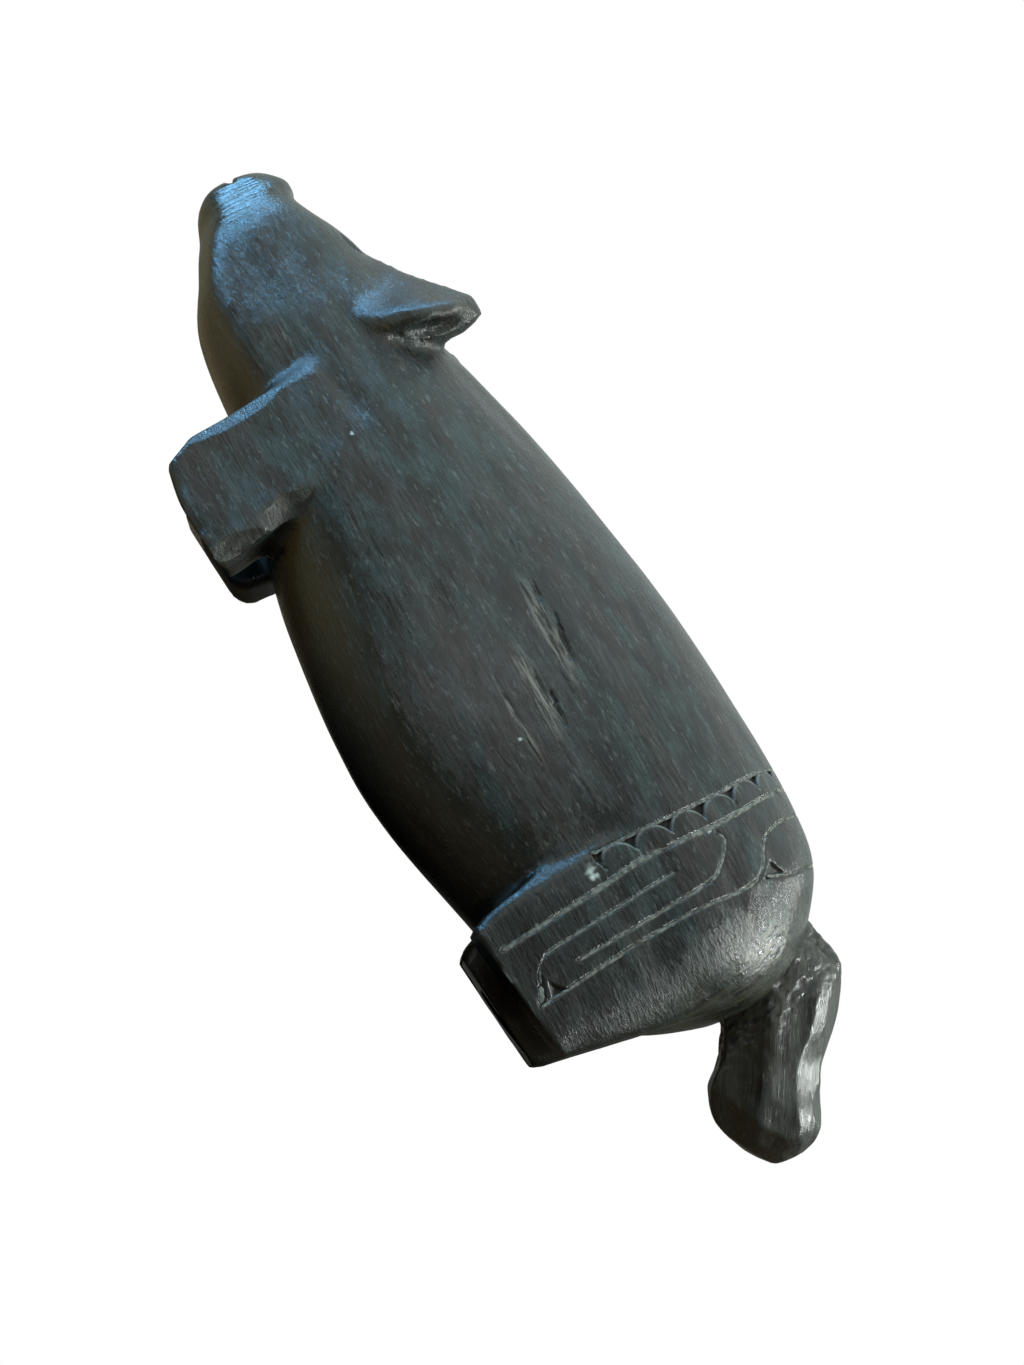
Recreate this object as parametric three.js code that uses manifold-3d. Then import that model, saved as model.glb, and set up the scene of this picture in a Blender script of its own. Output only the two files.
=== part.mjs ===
// A standing pig carved from one block of dark hardwood, with a pegged tail and lime-filled line work on
// its hindquarters. Millimetres, +X towards the snout, +Y to the pig's left, +Z up. The origin is on the
// ground, under the middle of the whole figure.
import * as THREE from "three";
import { mergeVertices } from "three/addons/utils/BufferGeometryUtils.js";
import Module from "manifold-3d";

const wasm = await Module();
wasm.setup();

// The block: its sawn size, which the carver's template is drawn on
const BLOCK_LENGTH = 166.5;
const BLOCK_HEIGHT = 60.5;
const BLOCK_WIDTH = 45;

// Carver's template, rump to snout. Along, top, level, bottom and half are percentages of the block's
// length, its height (top, widest level, bottom) and its half width. Upper and lower say how square the
// section is there: 2 is an ellipse, more is boxier, and less leaves a ridge along the widest level.
const TEMPLATE = [
  { along: 0.0, top: 63, level: 57, bottom: 52, half: 20, upper: 2.0, lower: 2.0 },
  { along: 0.6, top: 69, level: 55, bottom: 44, half: 40, upper: 2.0, lower: 2.0 },
  { along: 1.8, top: 75.5, level: 52, bottom: 36, half: 54, upper: 2.1, lower: 2.1 },
  { along: 3.9, top: 83, level: 48, bottom: 26, half: 65, upper: 2.1, lower: 2.2 },
  { along: 7.5, top: 91.6, level: 45, bottom: 15, half: 77, upper: 2.2, lower: 2.3 },
  { along: 12.3, top: 95.8, level: 42, bottom: 9, half: 86, upper: 2.3, lower: 2.4 },
  { along: 21.3, top: 98.5, level: 39, bottom: 5.4, half: 94, upper: 2.4, lower: 2.6 },
  { along: 38.1, top: 100, level: 36, bottom: 0.9, half: 100, upper: 2.4, lower: 2.8 },
  { along: 55.0, top: 97.4, level: 39, bottom: 7.8, half: 94, upper: 2.3, lower: 2.6 },
  { along: 67.0, top: 93.2, level: 43, bottom: 18, half: 84, upper: 2.2, lower: 2.4 },
  { along: 74.2, top: 89.6, level: 44, bottom: 27, half: 77, upper: 2.2, lower: 2.3 },
  { along: 80.8, top: 88.2, level: 43, bottom: 29.2, half: 69, upper: 2.3, lower: 2.1 },
  { along: 87.4, top: 85.8, level: 43, bottom: 33.4, half: 57, upper: 2.5, lower: 1.8 },
  { along: 92.2, top: 80.2, level: 49, bottom: 41.5, half: 46, upper: 2.7, lower: 1.6 },
  { along: 94.6, top: 78.6, level: 54, bottom: 45.5, half: 41, upper: 2.7, lower: 1.6 },
  { along: 96.4, top: 80.3, level: 58, bottom: 49, half: 39, upper: 2.6, lower: 1.7 },
  { along: 98.8, top: 76.0, level: 59.5, bottom: 52.5, half: 34, upper: 2.4, lower: 1.9 },
  { along: 100, top: 71.0, level: 61.5, bottom: 57, half: 21, upper: 2.2, lower: 2.0 },
];
const RINGS_PER_STATION = 4;
const POINTS_PER_RING = 36;

// Legs: each pair is sawn from the side, so an outline is in X and Z, from the heel to the toe and up into
// the trunk, where it ends at the widest level. Front legs are set out back from the snout, hind legs
// forward from the rump.
const LEG_GAP = 15;
const FLANK_INSET = 0.15;
const LEG_TOP_INSET = 0.4;
const FRONT_LEG = [
  [58.6, "level"],
  [60, 9],
  [60.7, 0],
  [52, 0],
  [43, 2],
  [41.2, 7.4],
  [41.4, 14],
  [40.6, "level"],
];
const HIND_LEG = [
  [2, "level"],
  [11.1, 0],
  [33.3, 0],
  [34.3, 2.8],
  [35.3, 9],
  [35.9, 20],
  [35.1, "level"],
  [16.5, "level"],
];
// Front legs: a long hollow scooped along the leading edge and another along the trailing one
const TOE_SCOOP = { back: 40.2, z: 13.5, outside: 1.5, reach: 4.2, tall: 13 };
const HEEL_SCOOP = { back: 61, z: 9.5, outside: 1.2, reach: 3.8, tall: 9.5 };
// The left hind foot is pared along its outer edge
const PARED = { from: 7.5, to: 37.5, deep: 1.8 };

// Ears: four-edged wedges from the forehead to the tip. The top and lip bound the outer face, and the root
// and crown lie inside the head until the free end. Each point is set out from the ear's seat, where the
// head's top line and its half width meet, so far back from the snout.
const EAR_SEAT_BACK = 38;
const EAR_TEMPLATE = [
  { top: [12, -11.3, -4.2], lip: [8, -4.5, -12.8], root: [8, -10.5, -12.8], crown: [10, -14, -6.8] },
  { top: [5.4, -6.9, -0.2], lip: [2, -2.3, -9.8], root: [0.5, -9.5, -10.8], crown: [3.5, -11.5, -3.3] },
  { top: [0.2, -3.9, 4.5], lip: [-2.6, -0.9, -3.8], root: [-4.5, -8.5, -6.3], crown: [-2.5, -8.5, 0.7] },
  { top: [-5.8, -2.1, 6.6], lip: [-6.4, -0.7, 2.4], root: [-8.4, -8, -0.6], crown: [-7.6, -5.9, 5.4] },
];
const EAR_STEPS = 3;
const RIGHT_EAR_DROP = 1;

// Mouth and nostrils, up from the snout's widest level, and eyes, in and down from the head's corner
const MOUTH = { up: 2.2, deep: 1.7, high: 2.4 };
const NOSTRIL = { up: 6.2, apart: 5.4, radius: 1.1, deep: 1.6 };
const EYE = { back: 22.3, inset: 5.5, below: 2.2, long: 3.2, high: 1.3, deep: 1.2 };

// Tail: eight-sided sections between a top and a bottom point, pegged into the rump. They are set out from
// the rump's end at its widest level.
const TAIL_TEMPLATE = [
  { top: [13.5, 14], bottom: [8.5, -4], half: 6.4 },
  { top: [3.5, 15.3], bottom: [1.9, -5.5], half: 6.6 },
  { top: [-3.2, 15.4], bottom: [-0.1, -6.1], half: 6.8 },
  { top: [-9.6, 10.1], bottom: [-2.3, -7.9], half: 6.6 },
  { top: [-13.6, 3.8], bottom: [-4.7, -10.3], half: 6.4 },
  { top: [-16.7, 1.2], bottom: [-7.1, -13.7], half: 6.6 },
  { top: [-20.7, -1.3], bottom: [-11.9, -15.9], half: 6.6 },
  { top: [-22.9, -4.3], bottom: [-18.3, -14.2], half: 5.2 },
  { top: [-23.5, -7.5], bottom: [-22.9, -11.5], half: 2.4 },
];
const TAIL_SIDES = 8;
const TAIL_GAP = 0.3;
const PEG = { in: 4.1, up: 5.1, radius: 3.2, length: 11, rise: -0.26 };
const PEG_CLEARANCE = 0.15;

// Incised lines on the hindquarters, as [distance forward from the rump, girth]. Girth is 0 along the
// back's midline, 100 at the widest level and 200 at the sole. A line that starts at girth 0 runs over
// the back.
const LINES = {
  lime_front_border: [[28.5, 0], [29.9, 38], [30.6, 68], [32.3, 91], [33.6, 104]],
  lime_second_border: [[25.5, 0], [26, 48], [26.5, 70], [28.3, 94], [28.3, 112], [28.7, 186]],
  lime_scroll: [
    [20.9, 0],
    [21.1, 26],
    [21.4, 42],
    [20.5, 54],
    [18.1, 59],
    [16.1, 65],
    [15.9, 75],
    [17.7, 98],
    [18.2, 135],
    [18.4, 186],
  ],
  lime_rear_lobe: [[12.7, 0], [13.1, 26], [13.9, 43], [15.5, 52]],
  lime_arch: [[25, 68], [23.5, 69], [20.8, 76], [19.8, 84], [20.4, 102], [21.1, 152]],
  lime_hook: [[24, 89], [24.2, 100], [24.6, 158], [23.7, 171], [22.1, 176], [20.3, 174], [19.5, 170]],
  lime_foot_mark: [[21.3, 182], [19.7, 182]],
};
const GROOVE = { wide: 0.9, deep: 0.8 };
const LIME_CLEARANCE = 0.12;
const LIME_SINK = 0.05;
const LINE_STEP = 2;
const POINTS_PER_LEG_OF_LINE = 8;
const TANGENT_STEP = { x: 0.2, girth: 0.5 };

// How finely round things are divided
const PEG_SIDES = 24;
const NOSTRIL_SIDES = 12;
const SCOOP_GRID = [20, 14];
const EYE_GRID = [16, 8];
const HALVINGS = 40;
const MERGE_DISTANCE = 1e-4;

// The snout's tip and the rump's end, with the whole figure's middle at the origin
const TAIL_REACH = -TAIL_TEMPLATE.at(-1).top[0];
const SNOUT_X = (BLOCK_LENGTH + TAIL_REACH) / 2;
const RUMP_X = SNOUT_X - BLOCK_LENGTH;

const UP = new THREE.Vector3(0, 0, 1);

// A matrix that moves by a vector
const shift = (x, y, z) => new THREE.Matrix4().makeTranslation(x, y, z);

// The position-only, merged form of a geometry as a solid
function solidOf(geometry, matrix = new THREE.Matrix4()) {
  const bare = geometry.clone().applyMatrix4(matrix);
  bare.deleteAttribute("normal");
  bare.deleteAttribute("uv");
  const merged = mergeVertices(bare, MERGE_DISTANCE);
  return new wasm.Manifold(
    new wasm.Mesh({
      numProp: 3,
      vertProperties: new Float32Array(merged.attributes.position.array),
      triVerts: new Uint32Array(merged.index.array),
    }),
  );
}

// A solid as a geometry with flat faces
function geometryOf(solid) {
  const mesh = solid.getMesh();
  const geometry = new THREE.BufferGeometry();
  geometry.setAttribute("position", new THREE.BufferAttribute(mesh.vertProperties, mesh.numProp));
  geometry.setIndex(new THREE.BufferAttribute(mesh.triVerts, 1));
  return geometry.toNonIndexed();
}

// A closed skin through rings of equally many points, with each end fanned shut
function loft(rings) {
  const count = rings[0].length;
  const points = rings.flat();
  const faces = [];
  for (let i = 0; i + 1 < rings.length; i++) {
    for (let j = 0; j < count; j++) {
      const a = i * count + j;
      const b = i * count + ((j + 1) % count);
      faces.push(a, b, b + count, a, b + count, a + count);
    }
  }
  const last = (rings.length - 1) * count;
  const startCentre = points.length;
  const sumOf = (ring) => ring.reduce((sum, point) => sum.add(point), new THREE.Vector3());
  const middle = (ring) => sumOf(ring).divideScalar(ring.length);
  points.push(middle(rings[0]), middle(rings.at(-1)));
  for (let j = 0; j < count; j++) {
    const next = (j + 1) % count;
    faces.push(startCentre, next, j, startCentre + 1, last + j, last + next);
  }
  const geometry = new THREE.BufferGeometry().setFromPoints(points);
  return geometry.setIndex(facingOut(points, faces));
}

// The faces turned so that their skin encloses a positive volume
function facingOut(points, faces) {
  let volume = 0;
  const cross = new THREE.Vector3();
  for (let i = 0; i < faces.length; i += 3) {
    cross.crossVectors(points[faces[i + 1]], points[faces[i + 2]]);
    volume += points[faces[i]].dot(cross);
  }
  if (volume > 0) return faces;
  return faces.map((_, i) => faces[i - (i % 3) + [0, 2, 1][i % 3]]);
}

// Smooth values between the rows of a table, by place: 0 is the first row, 1 the next
function smoothTable(rows, keys) {
  return new THREE.CubicInterpolant(
    rows.map((_, i) => i),
    rows.flatMap((row) => keys.map((key) => row[key])),
    keys.length,
  );
}

const template = smoothTable(TEMPLATE, ["along", "top", "level", "bottom", "half", "upper", "lower"]);

// The block's section at a place between stations, in millimetres
function sectionAt(place) {
  const [along, top, level, bottom, half, upper, lower] = template.evaluate(place);
  return {
    x: RUMP_X + (BLOCK_LENGTH * along) / 100,
    top: (BLOCK_HEIGHT * top) / 100,
    level: (BLOCK_HEIGHT * level) / 100,
    bottom: (BLOCK_HEIGHT * bottom) / 100,
    half: (BLOCK_WIDTH * half) / 200,
    upper,
    lower,
  };
}

// All sections that the loft runs through, rump to snout
const SECTIONS = Array.from({ length: (TEMPLATE.length - 1) * RINGS_PER_STATION + 1 }, (_, i) =>
  sectionAt(i / RINGS_PER_STATION),
);

// The block's section where it crosses x
function sectionOver(x) {
  let low = 0;
  let high = TEMPLATE.length - 1;
  for (let i = 0; i < HALVINGS; i++) {
    const mid = (low + high) / 2;
    if (sectionAt(mid).x < x) low = mid;
    else high = mid;
  }
  return sectionAt(low);
}

// Places along the block, the snout's widest level and the point where the tail sits
const backFromSnout = (distance) => SNOUT_X - distance;
const forwardFromRump = (distance) => RUMP_X + distance;
const snoutLevel = SECTIONS.at(-1).level;
const tailSeat = new THREE.Vector3(RUMP_X, 0, SECTIONS[0].level);

// A section's point: a superellipse with its own squareness above and below the widest level
function sectionPoint(section, angle) {
  const c = Math.cos(angle);
  const s = Math.sin(angle);
  const power = 2 / (s >= 0 ? section.upper : section.lower);
  const reach = s >= 0 ? section.top - section.level : section.level - section.bottom;
  return new THREE.Vector3(
    section.x,
    section.half * Math.sign(c) * Math.abs(c) ** power,
    section.level + reach * Math.sign(s) * Math.abs(s) ** power,
  );
}

// Angles of as many points on a circle
const anglesOf = (count, start = 0) =>
  Array.from({ length: count }, (_, i) => start + (2 * Math.PI * i) / count);

// Trunk and head: the template's sections lofted from rump to snout
function trunkSolid() {
  const angles = anglesOf(POINTS_PER_RING);
  return solidOf(loft(SECTIONS.map((section) => angles.map((angle) => sectionPoint(section, angle)))));
}

// The block's outline from above, as an upright slab that trims the legs flush with the flanks
function planSolid() {
  const left = SECTIONS.map((section) => new THREE.Vector2(section.x, section.half - FLANK_INSET));
  const right = left.map(({ x, y }) => new THREE.Vector2(x, -y)).reverse();
  const outline = new THREE.Shape([...left, ...right]);
  return solidOf(new THREE.ExtrudeGeometry(outline, { depth: BLOCK_HEIGHT, bevelEnabled: false }));
}

// One pair of legs: the side outline sawn through the block, trimmed from above and parted in the middle
function legPairSolid(outline, place, plan) {
  const corners = outline.map(([distance, z]) => {
    const x = place(distance);
    return new THREE.Vector2(x, z === "level" ? sectionOver(x).level - LEG_TOP_INSET : z);
  });
  const shape = new THREE.Shape(corners);
  const sawn = new THREE.ExtrudeGeometry(shape, { depth: 2 * BLOCK_WIDTH, bevelEnabled: false });
  const upright = new THREE.Matrix4().makeRotationX(Math.PI / 2).premultiply(shift(0, BLOCK_WIDTH, 0));
  const gap = new THREE.BoxGeometry(2 * BLOCK_LENGTH, LEG_GAP, BLOCK_HEIGHT);
  return solidOf(sawn, upright).intersect(plan).subtract(solidOf(gap));
}

// A long hollow scooped along one edge of a leg
function scoopCut(scoop, side) {
  const ball = new THREE.SphereGeometry(1, ...SCOOP_GRID).rotateX(Math.PI / 2);
  const x = backFromSnout(scoop.back);
  const y = sectionOver(x).half + scoop.outside;
  const size = new THREE.Vector3(scoop.reach, scoop.reach, scoop.tall);
  return solidOf(ball, shift(x, side * y, scoop.z).scale(size));
}

// The facet pared off the outer edge of the left hind foot
function paredCut() {
  const { from, to, deep } = PARED;
  const along = SECTIONS.filter(({ x }) => x > forwardFromRump(from) && x < forwardFromRump(to));
  const rings = along.map(({ x, half }) => [
    new THREE.Vector3(x, half + deep, -deep),
    new THREE.Vector3(x, half + deep, 2 * deep),
    new THREE.Vector3(x, half - 2 * deep, -deep),
  ]);
  return solidOf(loft(rings));
}

// A cylinder between two points
function rod(from, to, radius, sides) {
  const run = new THREE.Vector3().subVectors(to, from);
  const cylinder = new THREE.CylinderGeometry(radius, radius, run.length(), sides).rotateX(Math.PI / 2);
  const turn = new THREE.Quaternion().setFromUnitVectors(UP, run.clone().normalize());
  const middle = from.clone().addScaledVector(run, 0.5);
  return solidOf(cylinder, new THREE.Matrix4().compose(middle, turn, new THREE.Vector3(1, 1, 1)));
}

// One ear, on the side that the sign gives
function earSolid(side) {
  const edges = ["top", "lip", "root", "crown"];
  const rows = EAR_TEMPLATE.map((row) => edges.flatMap((edge) => row[edge]));
  const line = smoothTable(rows, [...rows[0].keys()]);
  const { x, half, top } = sectionOver(backFromSnout(EAR_SEAT_BACK));
  const drop = side < 0 ? RIGHT_EAR_DROP : 0;
  const rings = Array.from({ length: (rows.length - 1) * EAR_STEPS + 1 }, (_, i) => {
    const values = [...line.evaluate(i / EAR_STEPS)];
    return edges.map((_, j) => {
      const [forward, out, up] = values.slice(3 * j, 3 * j + 3);
      return new THREE.Vector3(x + forward, side * (half + out), top + up - drop);
    });
  });
  return solidOf(loft(rings));
}

// The notch of the mouth, a wedge across the snout
function mouthCut() {
  const { deep, high } = MOUTH;
  const z = snoutLevel + MOUTH.up;
  const wedge = new THREE.Shape([
    new THREE.Vector2(SNOUT_X - deep, z),
    new THREE.Vector2(SNOUT_X + deep, z - high),
    new THREE.Vector2(SNOUT_X + deep, z + high),
  ]);
  const across = new THREE.ExtrudeGeometry(wedge, { depth: BLOCK_WIDTH, bevelEnabled: false });
  const turned = new THREE.Matrix4().makeRotationX(Math.PI / 2);
  const upright = turned.premultiply(shift(0, BLOCK_WIDTH / 2, 0));
  return solidOf(across, upright);
}

// One nostril, a small round dimple
function nostrilCut(side) {
  const y = (side * NOSTRIL.apart) / 2;
  const z = snoutLevel + NOSTRIL.up;
  const from = new THREE.Vector3(SNOUT_X - NOSTRIL.deep, y, z);
  return rod(from, new THREE.Vector3(SNOUT_X + NOSTRIL.deep, y, z), NOSTRIL.radius, NOSTRIL_SIDES);
}

// One eye, a shallow almond
function eyeCut(side) {
  const almond = new THREE.SphereGeometry(1, ...EYE_GRID);
  const size = new THREE.Vector3(EYE.long, EYE.high, EYE.deep);
  const { x, half, top } = sectionOver(backFromSnout(EYE.back));
  return solidOf(almond, shift(x, side * (half - EYE.inset), top - EYE.below).scale(size));
}

// The peg's ends, from the rump's skin into the block
const pegAxis = new THREE.Vector3(1, 0, PEG.rise).normalize();
const pegMouth = tailSeat.clone().add(new THREE.Vector3(PEG.in, 0, PEG.up));

// The block: trunk, head, ears and legs in one piece of wood, with the cuts made into it
function carvedBlock() {
  const plan = planSolid();
  let block = trunkSolid()
    .add(legPairSolid(FRONT_LEG, backFromSnout, plan))
    .add(legPairSolid(HIND_LEG, forwardFromRump, plan));
  for (const side of [1, -1]) {
    block = block
      .add(earSolid(side))
      .subtract(scoopCut(TOE_SCOOP, side))
      .subtract(scoopCut(HEEL_SCOOP, side))
      .subtract(nostrilCut(side))
      .subtract(eyeCut(side));
  }
  return block.subtract(mouthCut()).subtract(paredCut());
}

// The socket for the peg, open at the rump
function socketCut() {
  const from = pegMouth.clone().addScaledVector(pegAxis, -PEG.length);
  const to = pegMouth.clone().addScaledVector(pegAxis, PEG.length + PEG_CLEARANCE);
  return rod(from, to, PEG.radius + PEG_CLEARANCE, PEG_SIDES);
}

// The tail: its root takes the shape of the rump, a glue gap away, and its peg fills the socket
function tailSolid(block) {
  const flat = Math.cos(Math.PI / TAIL_SIDES);
  const angles = anglesOf(TAIL_SIDES, Math.PI / TAIL_SIDES);
  const rings = TAIL_TEMPLATE.map(({ top, bottom, half }) => {
    const middle = new THREE.Vector3((top[0] + bottom[0]) / 2, 0, (top[1] + bottom[1]) / 2);
    const centre = middle.add(tailSeat);
    const upward = new THREE.Vector3((top[0] - bottom[0]) / 2, 0, (top[1] - bottom[1]) / 2);
    const lateral = new THREE.Vector3(0, half, 0);
    return angles.map((angle) =>
      centre
        .clone()
        .addScaledVector(lateral, Math.cos(angle) / flat)
        .addScaledVector(upward, Math.sin(angle) / flat),
    );
  });
  const away = pegAxis.clone().multiplyScalar(-TAIL_GAP);
  const pushedIn = solidOf(loft(rings), shift(-away.x, 0, -away.z));
  const body = pushedIn.subtract(block).translate([away.x, 0, away.z]);
  const from = pegMouth.clone().addScaledVector(pegAxis, -PEG.length / 2);
  const to = pegMouth.clone().addScaledVector(pegAxis, PEG.length);
  return body.add(rod(from, to, PEG.radius, PEG_SIDES));
}

// A point of the skin of the hindquarters, at x and a signed girth
function skinPoint(x, girth) {
  const section = sectionOver(x);
  const reach = Math.abs(girth) / 100;
  const drop = Math.max(reach - 1, 0);
  const point = sectionPoint(section, (Math.PI / 2) * (1 - Math.min(reach, 1)));
  const inset = drop > 0 ? FLANK_INSET : 0;
  return new THREE.Vector3(x, Math.sign(girth) * (point.y - inset), point.z * (1 - drop));
}

// The skin's outward direction there, square to its two tangents
function skinNormal(x, girth) {
  const step = TANGENT_STEP;
  const along = skinPoint(x + step.x, girth).sub(skinPoint(x - step.x, girth));
  const around = skinPoint(x, girth + step.girth).sub(skinPoint(x, girth - step.girth));
  return along.cross(around).normalize();
}

// A bar with a square section that follows a line on the skin, from a height above it to a depth below it
function inlaidBar(line, wide, above, below, spare) {
  const curve = new THREE.SplineCurve(line.map(([x, girth]) => new THREE.Vector2(x, girth)));
  const rough = curve.getPoints(POINTS_PER_LEG_OF_LINE * line.length).map(({ x, y }) => skinPoint(x, y));
  const path = new THREE.CatmullRomCurve3(rough);
  const count = Math.max(2, Math.round(path.getLength() / LINE_STEP));
  const steps = Array.from({ length: count + 1 }, (_, i) => curve.getPoint(arcShare(rough, i / count)));
  const points = steps.map(({ x, y }) => skinPoint(x, y));
  const rings = points.map((point, i) => {
    const last = points[Math.max(i - 1, 0)];
    const run = points[Math.min(i + 1, count)].clone().sub(last).normalize();
    const normal = skinNormal(steps[i].x, steps[i].y);
    const across = run.clone().cross(normal).normalize().multiplyScalar(wide / 2);
    const end = i === 0 ? -spare : i === count ? spare : 0;
    const corner = (sign, height) =>
      point.clone().addScaledVector(run, end).addScaledVector(across, sign).addScaledVector(normal, height);
    return [corner(1, above), corner(-1, above), corner(-1, -below), corner(1, -below)];
  });
  return solidOf(loft(rings));
}

// The share of a curve's parameter at a share of its length, from points evenly spread over the parameter
function arcShare(points, share) {
  const lengths = points.slice(1).map((point, i) => point.distanceTo(points[i]));
  let left = share * lengths.reduce((sum, length) => sum + length, 0);
  let i = 0;
  while (i < lengths.length - 1 && left > lengths[i]) left -= lengths[i++];
  return Math.min((i + left / lengths[i]) / lengths.length, 1);
}

// Every incised line by name: one over the back where it starts on the midline, else a left and a right one
const lines = Object.entries(LINES).flatMap(([name, half]) => {
  const left = half.map(([distance, girth]) => [forwardFromRump(distance), girth]);
  const right = left.map(([x, girth]) => [x, -girth]);
  if (half[0][1] === 0) return [[name, [...right.reverse(), ...left.slice(1)]]];
  return [
    [`${name}_left`, left],
    [`${name}_right`, right],
  ];
});

// The groove of one line, and the lime that fills it
const grooveCut = (line) => inlaidBar(line, GROOVE.wide, GROOVE.deep, GROOVE.deep, LIME_CLEARANCE);
const limeFill = (line) =>
  inlaidBar(line, GROOVE.wide - 2 * LIME_CLEARANCE, -LIME_SINK, GROOVE.deep - LIME_CLEARANCE, 0);

const wood = new THREE.MeshStandardMaterial({ color: 0x1c1815, roughness: 0.45, metalness: 0 });

const lime = new THREE.MeshStandardMaterial({ color: 0xb9b6a8, roughness: 0.9, metalness: 0 });

// A named piece of the figure
function piece(name, solid, material) {
  const mesh = new THREE.Mesh(geometryOf(solid), material);
  mesh.name = name;
  return mesh;
}

const block = carvedBlock();
const socketed = block.subtract(socketCut());
const cutBlock = lines.reduce((solid, [, line]) => solid.subtract(grooveCut(line)), socketed);
const pig = new THREE.Group();
pig.add(piece("carved_block", cutBlock, wood));
pig.add(piece("tail", tailSolid(block), wood));
for (const [name, line] of lines) pig.add(piece(name, limeFill(line), lime));

export default pig;
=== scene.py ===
import bmesh
import bpy
import numpy as np
from mathutils import Matrix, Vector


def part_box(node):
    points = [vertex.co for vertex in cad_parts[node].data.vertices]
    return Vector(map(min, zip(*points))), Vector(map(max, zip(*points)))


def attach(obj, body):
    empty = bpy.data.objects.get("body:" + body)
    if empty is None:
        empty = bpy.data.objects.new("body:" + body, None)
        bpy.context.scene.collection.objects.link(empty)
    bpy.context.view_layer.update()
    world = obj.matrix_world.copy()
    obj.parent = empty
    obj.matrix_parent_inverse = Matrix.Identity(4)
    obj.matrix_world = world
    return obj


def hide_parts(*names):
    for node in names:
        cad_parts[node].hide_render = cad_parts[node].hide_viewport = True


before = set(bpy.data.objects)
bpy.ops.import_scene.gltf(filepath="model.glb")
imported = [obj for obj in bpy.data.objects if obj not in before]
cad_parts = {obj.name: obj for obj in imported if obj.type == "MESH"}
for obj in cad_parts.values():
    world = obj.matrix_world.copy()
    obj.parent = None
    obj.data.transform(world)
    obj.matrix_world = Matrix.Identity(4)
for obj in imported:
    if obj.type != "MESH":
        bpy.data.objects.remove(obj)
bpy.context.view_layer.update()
metre = 1000.0  # in millimetres
tiny = 1e-12  # keeps a division from being one by 0
lowCorner, highCorner = (np.array(corner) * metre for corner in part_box("carved_block"))
mirror = np.array([1, -1, 1])
bothSides = (np.ones(3), mirror)  # left, right


# Helpers: tables, noise, paths and meshes

def rowsAt(rows, place):
    # Catmull-Rom: a cubic through every row, whose slope at a row is half the step between its neighbours
    rows = np.asarray(rows, float)
    padded = np.vstack([2 * rows[0] - rows[1], rows, 2 * rows[-1] - rows[-2]])
    i = np.clip(np.asarray(place).astype(int), 0, len(rows) - 2)
    f = (place - i)[:, None]
    a, b, c, d = padded[i], padded[i + 1], padded[i + 2], padded[i + 3]
    return b + 0.5 * f * (c - a + f * (2 * a - 5 * b + 4 * c - d + f * (3 * (b - c) + d - a)))


def smoothRows(rows, count):
    # So many rows, evenly spread along that curve
    return rowsAt(rows, np.linspace(0, len(rows) - 1, count))


def unit(vectors):
    # Each vector over its length
    vectors = np.asarray(vectors, float)
    return vectors / np.maximum(np.linalg.norm(vectors, axis=-1, keepdims=True), tiny)


def ease(values):
    # 0 to 1 with flat ends: 3t² - 2t³
    t = np.clip(values, 0, 1)
    return t * t * (3 - 2 * t)


def fadeIn(values, start, over):
    # Eased from 0 at the start to 1 so far beyond it, or before it where that is below 0
    return ease((values - start) / over)


def steeply(values, steep, start):
    # Eased from the values times how steep it is, less where it starts
    return ease(steep * values - start)


latticeSize, latticeSeed = 64, 3
lattice = np.random.default_rng(latticeSeed).random((latticeSize,) * 3)


def noise(points, size, shift=0.0):
    # Value noise from -1 to 1: random numbers on a lattice, eased between its eight corners round each point
    q = np.asarray(points, float) / np.asarray(size, float) + shift
    cell = np.floor(q).astype(int)
    f = ease(q - cell)
    total = 0.0
    for corner in np.ndindex(2, 2, 2):
        share = np.prod(np.where(corner, f, 1 - f), axis=1)
        total = total + share * lattice[tuple(((cell + corner) % latticeSize).T)]
    return 2 * total - 1


def roughness(points, highAndSize, shift=0.0):
    # Noise so high and so large
    high, size = highAndSize
    return high * noise(points, size, shift)


def nearPath(points, path, reach):
    # Distance to a path, the least of those to its straight runs; points beyond the reach get infinity
    distance = np.full(len(points), np.inf)
    inside = np.all((points > path.min(0) - reach) & (points < path.max(0) + reach), axis=1)
    q = points[inside]
    runs = np.diff(path, axis=0)
    best = np.full(len(q), np.inf)
    for start, run, length in zip(path, runs, np.linalg.norm(runs, axis=1)):
        t = np.clip((q - start) @ run / max(length * length, tiny), 0, 1)
        best = np.minimum(best, np.linalg.norm(q - start - t[:, None] * run, axis=1))
    distance[inside] = best
    return distance


def lengthAlong(path):
    # The length from a path's start to each of its points
    return np.concatenate([[0], np.cumsum(np.linalg.norm(np.diff(path, axis=0), axis=1))])


def closedGrid(points):
    # Quads between rings of points and a fan from the middle of each end ring, turned to face outwards
    rings, count = points.shape[:2]
    index = np.arange(rings * count).reshape(rings, count)
    after = np.roll(index, -1, axis=1)
    quads = np.stack([index[:-1], after[:-1], after[1:], index[1:]], -1).reshape(-1, 4)
    middles = np.array([points[0].mean(0), points[-1].mean(0)])
    first, last = rings * count, rings * count + 1
    startFan = np.stack([np.full(count, first), after[0], index[0]], -1)
    endFan = np.stack([np.full(count, last), index[-1], after[-1]], -1)
    flat = np.vstack([points.reshape(-1, 3), middles])
    faces = [quads, np.vstack([startFan, endFan])]
    corners = [flat[face] for face in faces]
    volume = sum(np.einsum("ij,ij->", c[:, 0], np.cross(c[:, k], c[:, k + 1]))
                 for c in corners for k in range(1, c.shape[1] - 1))
    if volume < 0:
        faces = [face[:, ::-1] for face in faces]
    return flat, faces


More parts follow.
